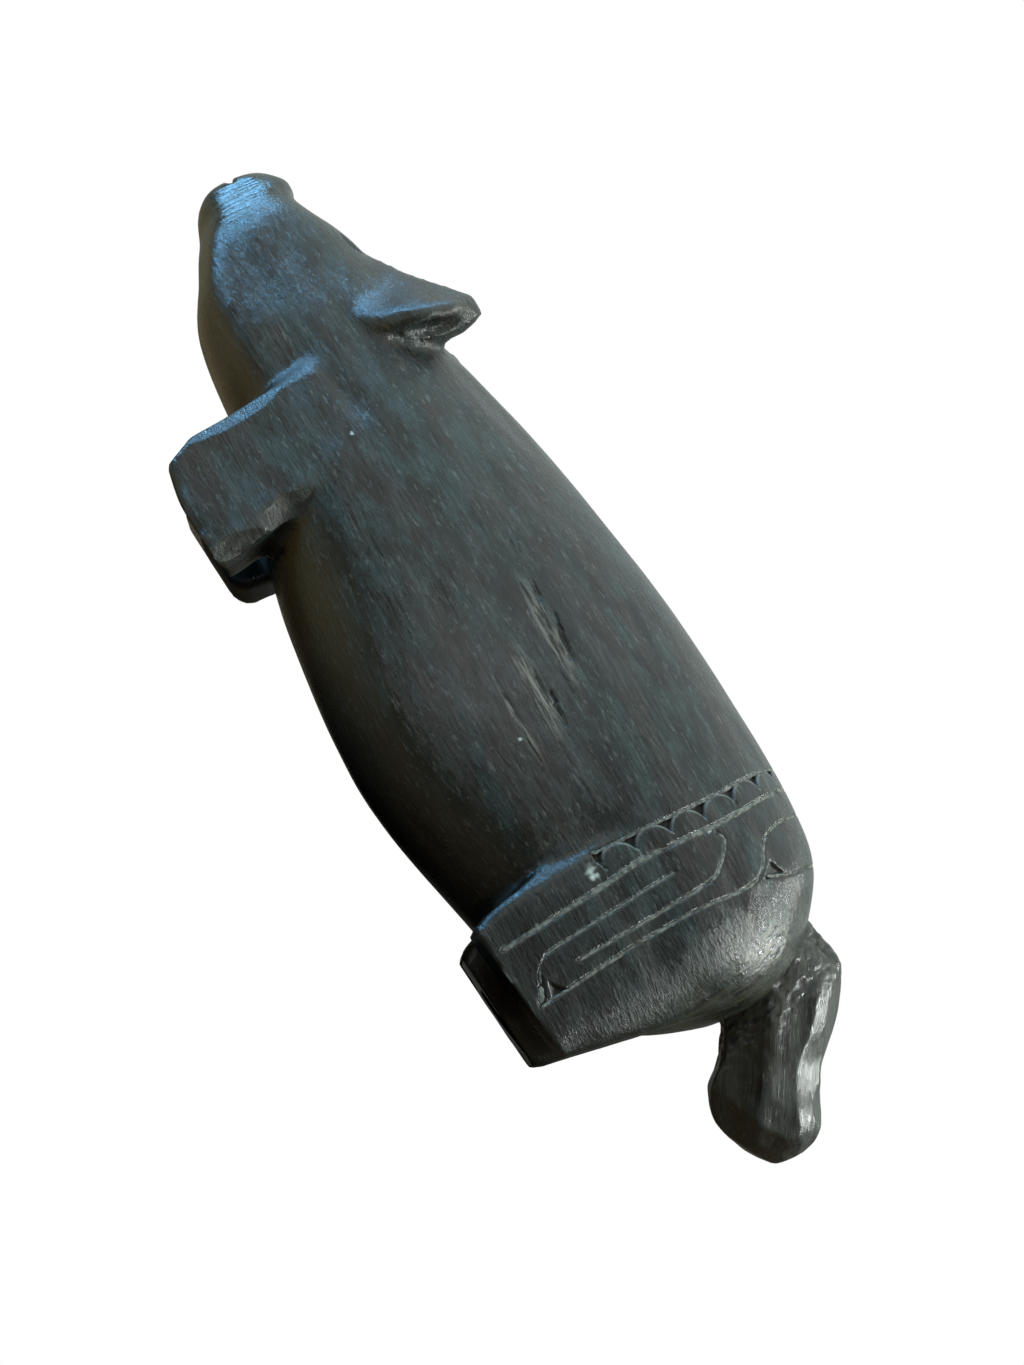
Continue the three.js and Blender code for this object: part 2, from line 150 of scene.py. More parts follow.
def meshFrom(name, points, faces, scale=1 / metre):
    # A new mesh of the points times the scale, and the faces
    mesh = bpy.data.meshes.new(name)
    mesh.from_pydata((points * scale).tolist(), [], [f for part in faces for f in part.tolist()])
    mesh.update()
    return mesh


def objectFrom(name, data):
    # A mesh, lamp or camera stood in the scene
    made = bpy.data.objects.new(name, data)
    bpy.context.scene.collection.objects.link(made)
    return made


def readRows(items, key, wide, kind=float):
    # One value of every item of a mesh, in rows so wide
    values = np.empty(len(items) * wide, kind)
    items.foreach_get(key, values)
    return values.reshape(-1, wide)


def getPoints(mesh):
    return readRows(mesh.vertices, "co", 3)


def setPoints(mesh, points):
    mesh.vertices.foreach_set("co", np.ascontiguousarray(points, float).ravel())
    mesh.update()


def getNormals(mesh):
    return readRows(mesh.vertex_normals, "vector", 3)


def getEdges(mesh):
    return readRows(mesh.edges, "vertices", 2, int)


def setSmooth(mesh):
    mesh.polygons.foreach_set("use_smooth", np.ones(len(mesh.polygons), bool))


def setAttribute(mesh, name, values):
    # One value for each point, which the material reads
    layer = mesh.attributes.new(name, "FLOAT", "POINT")
    layer.data.foreach_set("value", np.asarray(values, np.float32))


def neighbourMean(values, edges):
    # The sum of the values at the other ends of a point's edges, over how many edges it has
    count = np.bincount(edges.ravel(), minlength=len(values))
    total = [np.bincount(edges[:, 0], column[edges[:, 1]], len(values))
             + np.bincount(edges[:, 1], column[edges[:, 0]], len(values)) for column in values.T]
    return np.stack(total, -1) / np.maximum(count, 1)[:, None]


def relax(points, edges, times, amount=0.5, undo=0.53):
    # Taubin smoothing: a step towards the neighbours' mean, then one back, which is slightly longer if the
    # shape is to keep its size
    for _ in range(times):
        for share in (amount, -undo):
            points = points + share * (neighbourMean(points, edges) - points)
    return points


def cutAxes(facing, along):
    # The direction that a cut faces, and the one along it, square to the first
    n = unit(facing)
    return n, unit(np.asarray(along, float) - np.dot(along, n) * n)


def scoop(points, at, facing, along, deep, long, wide, reach=3.0, spread=1.2):
    # One cut of a gouge: whatever stands above a bowl, deep at its middle and rising to the skin at its
    # long and wide ends, is pushed down to the bowl along the direction that the cut faces
    n, u = cutAxes(facing, along)
    q = points - np.asarray(at, float)
    share = (q @ u / long) ** 2 + (q @ np.cross(n, u) / wide) ** 2
    height = q @ n
    over = np.maximum(height + deep * (1 - share), 0) * (share < spread) * (height < reach)
    return points - over[:, None] * n


def bevel(points, at, facing, along, deep, long, uneven):
    # One long cut of a knife down a leg's edge: whatever stands above a plane, deepest at its middle and
    # rising to the skin at both ends, is pushed down to it; the trunk behind and ahead of the leg is spared
    n, u = cutAxes(facing, along)
    q = points - np.asarray(at, float)
    depth = deep * (1 - (q @ u / long) ** 2) * (1 + uneven * noise(points, carving["bevelNoise"]))
    over = np.maximum(q @ n + depth, 0) * (np.abs(q @ u) < long) * (np.abs(q[:, 0]) < carving["bevelReach"])
    return points - (over * fadeIn(offTrunk(points), *carving["bevelSpares"]))[:, None] * n


def standsOver(points, at, facing, reach):
    # How far the skin round a place stands over the plane that touches it there
    near = np.linalg.norm(points - at, axis=1) < reach
    return ((points[near] - at) @ facing).max()


def nearest(points, place):
    # Which point has the least square of its distance to a place
    return np.argmin(((points - place) ** 2).sum(1))


def refine(mesh, chosen):
    # Splits the chosen edges in half and fills the quads between them
    body = bmesh.new()
    body.from_mesh(mesh)
    body.edges.ensure_lookup_table()
    split = [body.edges[i] for i in np.flatnonzero(chosen)]
    bmesh.ops.subdivide_edges(body, edges=split, cuts=1, use_grid_fill=True)
    bmesh.ops.triangulate(body, faces=[face for face in body.faces if len(face.verts) > 4])
    body.to_mesh(mesh)
    body.free()


# The block's blank: trunk and head, legs and ears as surfaces of two parameters

block = {
    # rump to snout: along, top, widest level, bottom, half width (percent), squareness above and below
    "sections": [
        (0, 63, 57, 52, 26, 2, 2), (0.6, 69, 55, 44, 46, 2, 2), (1.8, 75.5, 52, 36, 60, 2.1, 2.1),
        (3.9, 83, 48, 26, 70.5, 2.15, 2.2), (7.5, 91.6, 45, 15, 81, 2.25, 2.2),
        (12.3, 95.8, 42, 9, 88, 2.3, 2.2), (21.3, 98.5, 39, 5.4, 94, 2.4, 2.2),
        (38.1, 100, 36, 0.9, 100, 2.4, 2.4), (55, 97.4, 39, 7.8, 94, 2.3, 2.2),
        (67, 93.2, 43, 18, 84, 2.2, 2.1), (74.2, 89.6, 44, 27, 77, 2.2, 2.1),
        (77.5, 88.8, 43.5, 28.2, 73, 2.5, 2.2), (80.8, 88.2, 43, 29.2, 69.3, 2.8, 2.1),
        (87.4, 85.8, 43, 33.4, 61.5, 2.8, 1.8), (92.2, 80.2, 49, 41.5, 55, 3.4, 1.6),
        (94.6, 78.6, 54, 45.5, 48, 3.5, 1.6), (96.4, 80.3, 58, 49, 42.5, 3.3, 1.7),
        (98.8, 76, 59.5, 52.5, 35, 2.9, 1.9), (100, 71, 61.5, 57, 21, 2.2, 2),
    ],
    "sectionSteps": 900,
    "trunkGrid": (360, 240),
    # the trunk is drawn in beside the legs: from and to which x it fades in and out, below which height,
    # over how much of it, and the share of the width
    "waists": [(-50, -58, -37, -29, 34, 11, 0.05), (45, 38, 56, 66, 38, 12, 0.075)],
    # legs from the sole up: height, rear and front end
    "frontLeg": [(0, 32.6, 43.2), (2, 32.4, 51.6), (4.5, 32.5, 53), (7.4, 32.7, 53.8), (14, 33.3, 53.6),
                 (20, 34.4, 54), (25.5, 35.6, 54.4), (31, 37, 55)],
    "rightFrontLeg": [(0, 41, 43.2), (2.4, 37.2, 51.6), (2.9, 35.7, 52.2), (3.8, 34.5, 53),
                      (5.4, 33.8, 53.4), (9, 33.4, 53.8), (14, 33.8, 53.6), (20, 35.5, 54), (31, 37, 55)],
    "hindLeg": [(0, -60.4, -38.4), (2.8, -61.3, -37.2), (9, -63.2, -36.2), (20, -66.6, -35.6),
                (24, -67.8, -36.2), (29.5, -69.5, -37.5)],
    "legGrid": (60, 200),
    "legSquare": 14,
    "legInside": 7.5,
    "flankInset": 0.15,
    "straightFrom": 49,  # ahead of this x the legs stay as wide as here
    "narrowsAbove": (17, 11),  # from this height up they follow the trunk
    # ears from the forehead to the tip: upper edge, lip, root and crown of each section
    "ear": [
        [(74, 4.5, 50.2), (66, 12.3, 40), (64, 7, 39), (67, 3, 46)],
        [(69, 6, 52.9), (58.8, 15, 42), (55, 9, 41), (60, 4.5, 50)],
        [(64.2, 7.2, 55), (55.3, 16.2, 44.4), (51.6, 9.5, 44), (55, 6, 52.5)],
        [(59.6, 8.8, 57.4), (53.6, 17.2, 48), (49.4, 10, 47.5), (50.5, 7.5, 55)],
        [(55.7, 10.2, 59.6), (51.8, 17.6, 51.4), (48, 11.2, 51.5), (48.2, 9, 58)],
        [(51.2, 12.4, 61.6), (50, 17, 56.2), (47.7, 13, 56), (47.8, 11.4, 61.2)],
    ],
    "earGrid": (60, 120),
    "earSquare": 3.8,
    "earFull": 1.16,
    "rightEarDrop": 2.2,
    "voxel": 0.95,
}

size = highCorner - lowCorner
percent = [size[0] / 100, size[2] / 100, size[2] / 100, size[2] / 100, size[1] / 200, 1, 1]
sections = np.array(block["sections"]) * percent
sections[:, 0] += lowCorner[0]
fineSections = smoothRows(sections, block["sectionSteps"])


def sectionOver(x):
    # Top, widest level, bottom, half width and both squarenesses where the trunk crosses x
    return [np.interp(x, fineSections[:, 0], fineSections[:, k]) for k in range(1, 7)]


def trunkSkin(x, angle):
    # A superellipse round the widest level: half width times cos^(2/p), reach up or down times sin^(2/p)
    top, level, bottom, half, upper, lower = sectionOver(x)
    c, s = np.cos(angle), np.sin(angle)
    power = 2 / np.where(s >= 0, upper, lower)
    reach = np.where(s >= 0, top - level, level - bottom)
    y = half * np.sign(c) * np.abs(c) ** power
    return np.stack([x, y, level + reach * np.sign(s) * np.abs(s) ** power], -1)


def drawnIn(points):
    # What the waists leave of the trunk's width: each fades in and out along x, and out with height
    x, z = points[..., 0], points[..., 2]
    left = np.ones(x.shape)
    for rear, rearEnd, front, frontEnd, high, fade, share in block["waists"]:
        along = fadeIn(x, rearEnd, rear - rearEnd) * fadeIn(x, frontEnd, front - frontEnd)
        left *= 1 - share * along * fadeIn(z, high, -fade)
    return left


def offTrunk(points):
    # How far a point stands out sideways from the trunk's own skin at its level
    top, level, bottom, half, upper, lower = sectionOver(points[:, 0])
    over = points[:, 2] >= level
    power = np.where(over, upper, lower)
    rise = np.clip(np.abs(points[:, 2] - level) / np.where(over, top - level, level - bottom), 0, 1)
    return np.abs(points[:, 1]) - half * (1 - rise ** power) ** (1 / power) * drawnIn(points)


def squareLoop(count, power):
    # A superellipse in the unit square, from its angle
    angle = np.linspace(0, 2 * np.pi, count, endpoint=False)
    c, s = np.cos(angle), np.sin(angle)
    return np.sign(c) * np.abs(c) ** (2 / power), np.sign(s) * np.abs(s) ** (2 / power)


def trunkBlank():
    # The trunk's skin over a grid of places along it and angles round it, drawn in at the waists
    rings, count = block["trunkGrid"]
    x = smoothRows(sections, rings)[:, 0]
    angle = np.linspace(0, 2 * np.pi, count, endpoint=False)
    points = trunkSkin(*np.meshgrid(x, angle, indexing="ij"))
    points[..., 1] *= drawnIn(points)
    return points


def legBlank(rows, side):
    # Nearly square sections stacked from the sole up, with the outer wall flush with the flank
    rows = np.array(rows)
    rings, count = block["legGrid"]
    z = np.linspace(0, rows[-1, 0], rings)[:, None]
    rear, front = (np.interp(z, rows[:, 0], rows[:, k]) for k in (1, 2))
    a, b = squareLoop(count, block["legSquare"])
    x = (rear + front) / 2 + a * (front - rear) / 2
    inside = block["legInside"]
    narrowing, straight = sectionOver(x)[3], sectionOver(np.minimum(x, block["straightFrom"]))[3]
    outside = straight + (narrowing - straight) * fadeIn(z, *block["narrowsAbove"]) - block["flankInset"]
    y = inside + (b + 1) / 2 * (outside - inside)
    return np.stack([x, side * y, np.broadcast_to(z, x.shape)], -1)


def earBlank(side):
    # Rounded four-edged sections: each corner weighted by its share of the unit square
    rings, count = block["earGrid"]
    rows = np.array(block["ear"]).reshape(len(block["ear"]), -1)
    corners = smoothRows(rows, rings).reshape(rings, 4, 1, 3)
    a, b = np.array(squareLoop(count, block["earSquare"])) * block["earFull"]
    shares = [(1 - a) * (1 + b), (1 - a) * (1 - b), (1 + a) * (1 - b), (1 + a) * (1 + b)]
    points = sum(corners[:, k] * share[None, :, None] / 4 for k, share in enumerate(shares))
    points[..., 2] -= block["rightEarDrop"] * (side < 0)
    return points * [1, side, 1]


blanks = [trunkBlank()]
for side, frontLeg in ((1, "frontLeg"), (-1, "rightFrontLeg")):
    blanks += [legBlank(block[frontLeg], side), legBlank(block["hindLeg"], side), earBlank(side)]
allPoints, allFaces, offset = [], [], 0
for points, faces in map(closedGrid, blanks):
    allPoints.append(points)
    allFaces += [face + offset for face in faces]
    offset += len(points)
blank = objectFrom("blank", meshFrom("blank", np.vstack(allPoints), allFaces, 1))
merge = blank.modifiers.new("oneBlock", "REMESH")
merge.mode = "VOXEL"
merge.voxel_size = block["voxel"]
pigMesh = bpy.data.meshes.new_from_object(blank.evaluated_get(bpy.context.evaluated_depsgraph_get()))
bpy.data.objects.remove(blank)
print("blank:", len(pigMesh.vertices), "points")


# Worn knife facets all over, then the crisp cuts of gouge and knife

carving = {
    "relaxed": {"blank": 6, "worn": 2, "refined": 2},  # how many times
    # where the ears grow out of the cheeks: near which point, how far, how many times smoothed
    "blends": [((66.5, 12, 46), 9, 45)],
    "blendShare": 0.5,
    "blendSteep": 1.5,
    # facets: only above and behind these places, and where no more than this stands proud round them
    "facets": {"count": 170, "deep": (0.08, 0.24), "long": (6, 16), "wide": (2.2, 4.4),
               "slant": (-0.25, 0.25), "above": 3, "behind": 46, "proud": 0.3, "seed": 11},
    # each cut: near which point of the skin, facing (none: as the skin does), along, deep, long, wide, reach
    "cuts": [
        ((50.4, 14.2, 51.5), (-0.66, 0.73, -0.1), (-0.4, 0.03, 0.92), 1.2, 7.5, 1.8, 1.5),  # behind the ear
        ((66.7, 12.2, 43.1), None, (1, 0, 0), 0.14, 3.6, 3.4, 0.5),  # round flat on the cheek
        ((72.8, 7.4, 49.8), (0.05, 0.5, 0.85), (-0.93, 0.1, 0.3), 0.7, 2.9, 0.95, 1),  # eye
        ((89, 9, 39), (0.385, 0.918, 0.09), (1, -0.4, 0.1), 0.15, 7, 8, 3),  # flat side of the muzzle
        ((89.5, 3, 48.4), (0.06, 0.12, 0.98), (1, 0, 0), 0.25, 5, 4, 2),  # flat top of the nose
        ((93, 3.4, 44.8), (0.8, 0.45, 0.4), (-0.5, 0.87, 0), 0.6, 1.1, 0.8, 1),  # nostril
        ((52.7, 13, 4.6), (0.94, 0.1, -0.33), (0, 1, 0), 0.2, 14, 4, 1),  # toe
    ],
    "leftCuts": [
        ((-17.8, 22, 30.9), None, (1, 0, 0.08), 0.5, 2.6, 0.75, 1),  # chip out of the flank
        ((-12, 22, 30.4), None, (1, 0, 0.05), 0.25, 6.5, 1.5, 1),
        ((-8.5, 21.2, 38.3), None, (1, 0, 0.18), 0.55, 3.6, 0.55, 1),  # splinters above it
        ((1.2, 20.8, 39.2), None, (1, 0, 0.2), 0.35, 2.4, 0.45, 1),
        ((-6.5, 21.5, 36.4), None, (1, 0, 0.1), 0.3, 9.5, 0.9, 1),
    ],
    # bevels down the edges of the legs: near which point, facing, along, deep, long and how uneven
    "bevels": [
        ((53.8, 17.4, 16.8), (0.39, 0.92, 0.0), (0.08, 0, 1), 0.5, 10.5, 0),
        ((-36.2, 20.6, 15), (0.42, 0.91, 0.02), (0.02, 0, 1), 0.18, 11, 0),
        ((34.2, 19, 17.5), (-0.5, 0.86, -0.1), (0.1, 0, 1), 1.0, 7.5, 0.45),
        ((32.9, 19, 5.5), (-0.55, 0.83, -0.12), (0.03, 0, 1), 0.9, 8, 0.45),
    ],
    "bevelNoise": (2.5, 2.5, 3.5),
    "bevelReach": 6,
    "bevelSpares": (0.15, 0.5),  # what stands off the trunk by less than this, and over how much it fades
    # chopped roughly behind the front legs: between which x, from what share of which depth
    "chopped": {"between": (25, 42), "from": 0.3, "deep": 0.3},
    # soles that no longer touch the ground: between which x, on which side, level, from which x it slopes
    # and how steeply along, how steeply across and from which y
    "soles": [
        ((-66, -30), 1, 1.4, -38, -0.05, 0, 0),
        ((30, 60), 1, 0, 0, 0, -0.15, 18.5),
        ((30, 60), -1, 2.4, 40, 0, 0, 0),
    ],
    # from which y outwards soles, torn grain and crumbs lie
    "soleFrom": 4,
    "tornFrom": 15,
    "crumbFrom": 10,
    # torn grain on the left flank: x, level, half length, half width and slope
    "tears": [(-12.5, 30.2, 7.5, 1.5, 0.09), (-5, 37.3, 8.5, 1.25, 0.14), (-15, 24.9, 6, 0.5, 0.08)],
    "tornHigh": 0.22,
    "tornRidges": (3.5, 0.5, 0.45),
    "waves": (0.05, 6.0),  # all over: how high and how large
    # white chips and crumbs of lime on the left side: x, level, half length and half height
    "crumbs": [(-40.6, 21.2, 1.6, 1.1), (-45.2, 40.7, 0.5, 0.5), (-17.5, 23.6, 0.3, 0.3),
               (39.6, 29.6, 0.35, 0.25)],
    # splits along the grain: deep, half width and points near the skin
    "splits": [
        (0.35, 0.3, [(3.1, 20.5, 39.7), (1, 20.7, 39.2), (-0.8, 20.9, 38.9)]),
        (0.4, 0.35, [(-3, 20.7, 40), (-6.3, 21, 39), (-9.1, 21.2, 38.3), (-11.2, 21.3, 37.5)]),
        (0.2, 0.25, [(-2, 21.3, 37), (-6.4, 21.6, 35.8), (-11.8, 21.6, 35.1), (-16.1, 21.6, 34.7)]),
        (0.45, 0.5, [(-14.2, 22, 31.6), (-16.8, 22, 31.2), (-19.4, 22, 30.9)]),
        (0.15, 0.25, [(-7.6, 22.4, 25.7), (-10.3, 22.4, 25.2), (-16.2, 22.2, 24.5), (-22.5, 22, 24.2)]),
        (0.12, 0.2, [(-21, 21.9, 28.5), (-26.8, 21.6, 27.7), (-29.9, 21.4, 27.7)]),
        (0.2, 0.25, [(10.6, 19.5, 42.1), (8, 20, 40.9)]),
        (0.2, 0.25, [(10.5, 19.8, 40.9), (8.2, 20.1, 40.4)]),
        (0.1, 0.2, [(78.5, 10.7, 38.9), (73, 12, 38.6), (67.2, 13.6, 38)]),
        (0.1, 0.2, [(72.5, 12.7, 36.3), (66, 14.2, 36), (61.5, 15.2, 35.5)]),
        (0.1, 0.2, [(65.8, 14.5, 34.1), (60, 15.8, 33.2), (55.1, 16.6, 32.6)]),
        (0.12, 0.24, [(62.3, 14.4, 38.4), (63.8, 14.5, 36.9), (65.5, 14.4, 35.3)]),
        (0.12, 0.24, [(58.3, 13.5, 43.3), (59.6, 13.8, 41.8), (61.4, 13.8, 41.4)]),
        (0.12, 0.2, [(-57.8, 17.6, 31.2), (-58.6, 17.3, 23), (-59.5, 17, 14.6)]),
        (0.12, 0.2, [(-60.5, 16.6, 32.6), (-60.8, 16.5, 30)]),
    ],
    "splitShare": 0.85,  # of the half width, and how uneven it is
    "splitRough": (0.4, 1.5),
    "splitLeast": 0.05,
    "splitReach": 1.2,
    "pathSteps": 24,
    # the slit of the mouth: from which x forwards
    "mouth": {"level": 39.4, "half": 1.1, "deep": 1.4, "back": 92.4, "fade": 1.8},
}

edges = getEdges(pigMesh)
skin = relax(getPoints(pigMesh), edges, carving["relaxed"]["blank"])
steep = carving["blendSteep"]
for near, far, times in carving["blends"]:
    for flip in bothSides:
        share = ease(steep - steep * np.linalg.norm(skin - near * flip, axis=1) / far)
        share = carving["blendShare"] * share[:, None]
        for _ in range(times):
            skin = skin + share * (neighbourMean(skin, edges) - skin)
setPoints(pigMesh, skin)
normals = getNormals(pigMesh)
facets = carving["facets"]
draw = np.random.default_rng(facets["seed"])
for i in draw.integers(0, len(skin), facets["count"]):
    deep, long, wide, slant = (draw.uniform(*facets[key]) for key in ("deep", "long", "wide", "slant"))
    worn = skin[i, 2] > facets["above"] and skin[i, 0] < facets["behind"]
    if worn and standsOver(skin, skin[i], normals[i], long) < facets["proud"]:
        skin = scoop(skin, skin[i], normals[i], (1, 0, slant), deep, long, wide)
skin = relax(skin, edges, carving["relaxed"]["worn"])
setPoints(pigMesh, skin)
print("worn with", facets["count"], "facets")

allCuts = list(carving["leftCuts"])
for near, facing, along, *sizes in carving["cuts"]:
    for flip in bothSides:
        allCuts.append((near * flip, None if facing is None else facing * flip, along * flip, *sizes))
normals = getNormals(pigMesh)
placed = []
for near, facing, along, *sizes in allCuts:
    i = nearest(skin, near)
    placed.append((skin[i], normals[i] if facing is None else unit(facing), along, *sizes))
placedBevels = []
for near, facing, along, *sizes in carving["bevels"]:
    for flip in bothSides:
        placedBevels.append((skin[nearest(skin, near * flip)], facing * flip, along * flip, *sizes))
splitPaths = []
for _, _, path in carving["splits"]:
    path = smoothRows(path, carving["pathSteps"])
    i = [nearest(skin, p) for p in path]
    splitPaths.append((skin[i] + path) / 2)


# Lines cut round the hindquarters

ornament = {
    # as (x, girth): girth is 0 along the back, 100 at the widest level, 200 at the sole
    "lines": {
        "lime_front_border": [(-43, 0), (-41.6, 38), (-40.9, 68), (-39.2, 91), (-37.9, 104)],
        "lime_second_border": [(-46, 0), (-45.5, 48), (-45, 70), (-43.2, 94), (-43.2, 112), (-42.8, 186)],
        "lime_scroll": [(-50.6, 0), (-50.4, 26), (-50.1, 42), (-51, 54), (-53.4, 59), (-55.4, 65),
                        (-55.6, 75), (-53.8, 98), (-53.3, 135), (-53.1, 186)],
        "lime_rear_lobe": [(-58.9, 0), (-58.6, 26), (-58.1, 43), (-57.6, 50), (-56.6, 58), (-55.9, 62)],
        "lime_arch": [(-46, 71), (-47.8, 69.8), (-50.4, 75.3), (-51.7, 82), (-51.3, 102), (-50.4, 152)],
        "lime_hook": [(-47.5, 89), (-47.3, 100), (-46.9, 158), (-47.5, 169), (-48.7, 175), (-50.2, 178)],
        "lime_foot_mark": [(-50.4, 179), (-51.6, 181.5), (-52.6, 184.5)],
    },
    "pointsPerRow": 40,
    "groove": {"deep": 0.24, "half": 0.34, "broad": {"lime_second_border": 0.55, "lime_foot_mark_left": 0.6},
               "steep": 1.3, "reach": 1.5, "step": 0.15, "coarseStep": 1.0, "skip": 4},
    # the row of pointed pits behind the front border: from the back's midline, with pale arcs beside them
    "scallops": {"first": 3.4, "pitch": 6.25, "count": 8, "reach": 0.8, "deep": 0.8, "wall": 0.55,
                 "between": (0.02, 0.7), "arc": 0.16, "arcBeyond": 0.3, "arcShare": 0.75,
                 "middle": -42, "within": 6, "lowest": 104},
    # cut-out corners on the left side, as (x, z)
    "notches": [[(-54.0, 47.0), (-57.4, 48.2), (-56.4, 43.8)], [(-50.2, 6.6), (-53.3, 8.8), (-53.2, 5.6)]],
    "notchDeep": 0.7,
    "notchWall": 0.6,
    "notchFrom": 5,  # y outwards
    "borderSteps": 200,
    # how far round everything the mesh is made finer, and by what share less the second time
    "finer": {"line": 1.2, "less": 0.25, "cutEnds": 1, "cutWidest": 4.5, "cutOval": 1.1, "cutDeep": 2,
              "bevel": (3.5, 2.5, 1), "crumb": 0.8, "mouth": 1.8, "notch": 0.8,
              "scallops": (-0.2, 0.75), "scallopsDown": 3},
}
groove, scallops, notches, finer = (ornament[key] for key in ("groove", "scallops", "notches", "finer"))


def insideOf(points, corners):
    # Distance in from the nearest side of a triangle seen along Y, below 0 outside it and on the right
    corners = np.array(corners)
    (ax, az), (bx, bz) = corners[1] - corners[0], corners[2] - corners[0]
    turn = np.sign(ax * bz - az * bx)
    depth = np.full(len(points), np.inf)
    for a, b in zip(corners, np.roll(corners, -1, axis=0)):
        across = unit(np.array([a[1] - b[1], b[0] - a[0]])) * turn
        depth = np.minimum(depth, (points[:, [0, 2]] - a) @ across)
    return np.where(points[:, 1] > ornament["notchFrom"], depth, -1)


def skinAt(x, girth):
    # The trunk's own skin down to the widest level, then straight down the leg's wall
    reach = np.abs(girth) / 100
    drop = np.maximum(reach - 1, 0)
    point = trunkSkin(x, np.pi / 2 * (1 - np.minimum(reach, 1)))
    point[:, 1] = np.sign(girth) * (point[:, 1] - block["flankInset"] * (drop > 0))
    point[:, 2] *= 1 - drop
    return point


def girthOf(points):
    # The inverse: angle round the superellipse above the widest level, height below it
    top, level, _, half, upper, _ = sectionOver(points[:, 0])
    c = np.clip(np.abs(points[:, 1]) / half, 0, 1) ** (upper / 2)
    s = np.clip((points[:, 2] - level) / (top - level), 0, 1) ** (upper / 2)
    upwards = 100 * (1 - np.arctan2(s, c) / (np.pi / 2))
    return np.where(points[:, 2] > level, upwards, 100 + 100 * (1 - points[:, 2] / level))


def evenly(path, step):
    # The same path with its points an even step apart
    along = lengthAlong(path)
    places = np.linspace(0, along[-1], max(int(along[-1] / step), 8))
    return np.stack([np.interp(places, along, column) for column in path.T], -1)


def ontoSkin(path, points, normals):
    # Each path point dropped onto the plane of the skin's nearest point
    i = [nearest(points, p) for p in path]
    n = normals[i]
    return path - ((path - points[i]) * n).sum(1)[:, None] * n, n


limePaths = {}
for name, rows in ornament["lines"].items():
    flat = smoothRows(rows, ornament["pointsPerRow"] * len(rows))
    left = skinAt(flat[:, 0], flat[:, 1])
    if rows[0][1] == 0:  # runs over the back
        limePaths[name] = np.vstack([(left * mirror)[:0:-1], left])
    else:
        limePaths[name + "_left"] = left
        limePaths[name + "_right"] = left * mirror
coarsePaths = [evenly(path, groove["coarseStep"]) for path in [*limePaths.values(), *splitPaths]]

borders = [smoothRows(ornament["lines"][name], ornament["borderSteps"])
           for name in ("lime_front_border", "lime_second_border")]
borderGap = abs(borders[0][0, 0] - borders[1][0, 0])


def borderChart(points):
    # Between the two borders: the length along the front one from the back's midline, and the share of the
    # way from it to the second one
    girth = girthOf(points)
    xFront, xSecond = (np.interp(girth, rows[:, 1], rows[:, 0]) for rows in borders)
    length = lengthAlong(skinAt(borders[0][:, 0], borders[0][:, 1]))
    return np.interp(girth, borders[0][:, 1], length), (xFront - points[:, 0]) / (xFront - xSecond), girth


def byScallops(points):
    # Within so far of the middle of the scalloped band
    return np.abs(points[:, 0] - scallops["middle"]) < scallops["within"]


# the mesh is made finer twice round lines and small marks, and once round the cuts
mouth = carving["mouth"]
for level in range(2):
    middles = getPoints(pigMesh)[getEdges(pigMesh)].mean(1)
    x, y, z = middles.T
    reach = finer["line"] * (1 - finer["less"] * level)
    chosen = np.min([nearPath(middles, path, reach) for path in coarsePaths], axis=0) < reach
    if level == 0:
        for at, facing, along, deep, long, wide, _ in placed:
            u = unit(along - np.dot(along, facing) * facing)
            q = middles - at
            long, wide = long + finer["cutEnds"], min(wide, finer["cutWidest"]) + finer["cutEnds"]
            share = (q @ u / long) ** 2 + (q @ np.cross(facing, u) / wide) ** 2
            chosen |= (share < finer["cutOval"]) & (np.abs(q @ facing) < deep + finer["cutDeep"])
        ahead, aside, beyond = finer["bevel"]
        for at, _, _, _, long, _ in placedBevels:
            chosen |= np.all(np.abs(middles - at) < (ahead, aside, long + beyond), axis=1)
    for atX, atZ, long, high in carving["crumbs"]:
        near = ((x - atX) / (long + finer["crumb"])) ** 2 + ((z - atZ) / (high + finer["crumb"])) ** 2 < 1
        chosen |= near & (y > carving["crumbFrom"])
    chosen |= (x > mouth["back"]) & (np.abs(z - mouth["level"]) < finer["mouth"])
    for corners in notches:
        chosen |= insideOf(middles, corners) > -finer["notch"]
    _, f, girth = borderChart(middles)
    start, end = finer["scallops"]
    lowest = scallops["lowest"] + finer["scallopsDown"]
    chosen |= (f > start) & (f < end) & (girth < lowest) & byScallops(middles)
    refine(pigMesh, chosen)
print("refined:", len(pigMesh.vertices), "points")

edges = getEdges(pigMesh)
skin = relax(getPoints(pigMesh), edges, carving["relaxed"]["refined"])
for cut in placed:
    skin = scoop(skin, *cut)
whole = skin
for cut in placedBevels:
    skin = bevel(skin, *cut)
bevelled = np.linalg.norm(skin - whole, axis=1)
rear, front = carving["chopped"]["between"]
chopped = ease(bevelled / carving["chopped"]["deep"] - carving["chopped"]["from"])
chopped *= (skin[:, 0] > rear) & (skin[:, 0] < front)
skin[:, 2] = np.maximum(skin[:, 2], 0)
for (rear, front), side, level, fromX, slope, across, fromY in carving["soles"]:
    floorLevel = level + slope * (skin[:, 0] - fromX) + across * (side * skin[:, 1] - fromY)
    foot = (skin[:, 0] > rear) & (skin[:, 0] < front) & (side * skin[:, 1] > carving["soleFrom"])
    skin[foot, 2] = np.maximum(skin[foot, 2], floorLevel[foot])
setPoints(pigMesh, skin)
normals = getNormals(pigMesh)
limePaths = {name: ontoSkin(evenly(path, groove["step"]), skin, normals) for name, path in limePaths.items()}

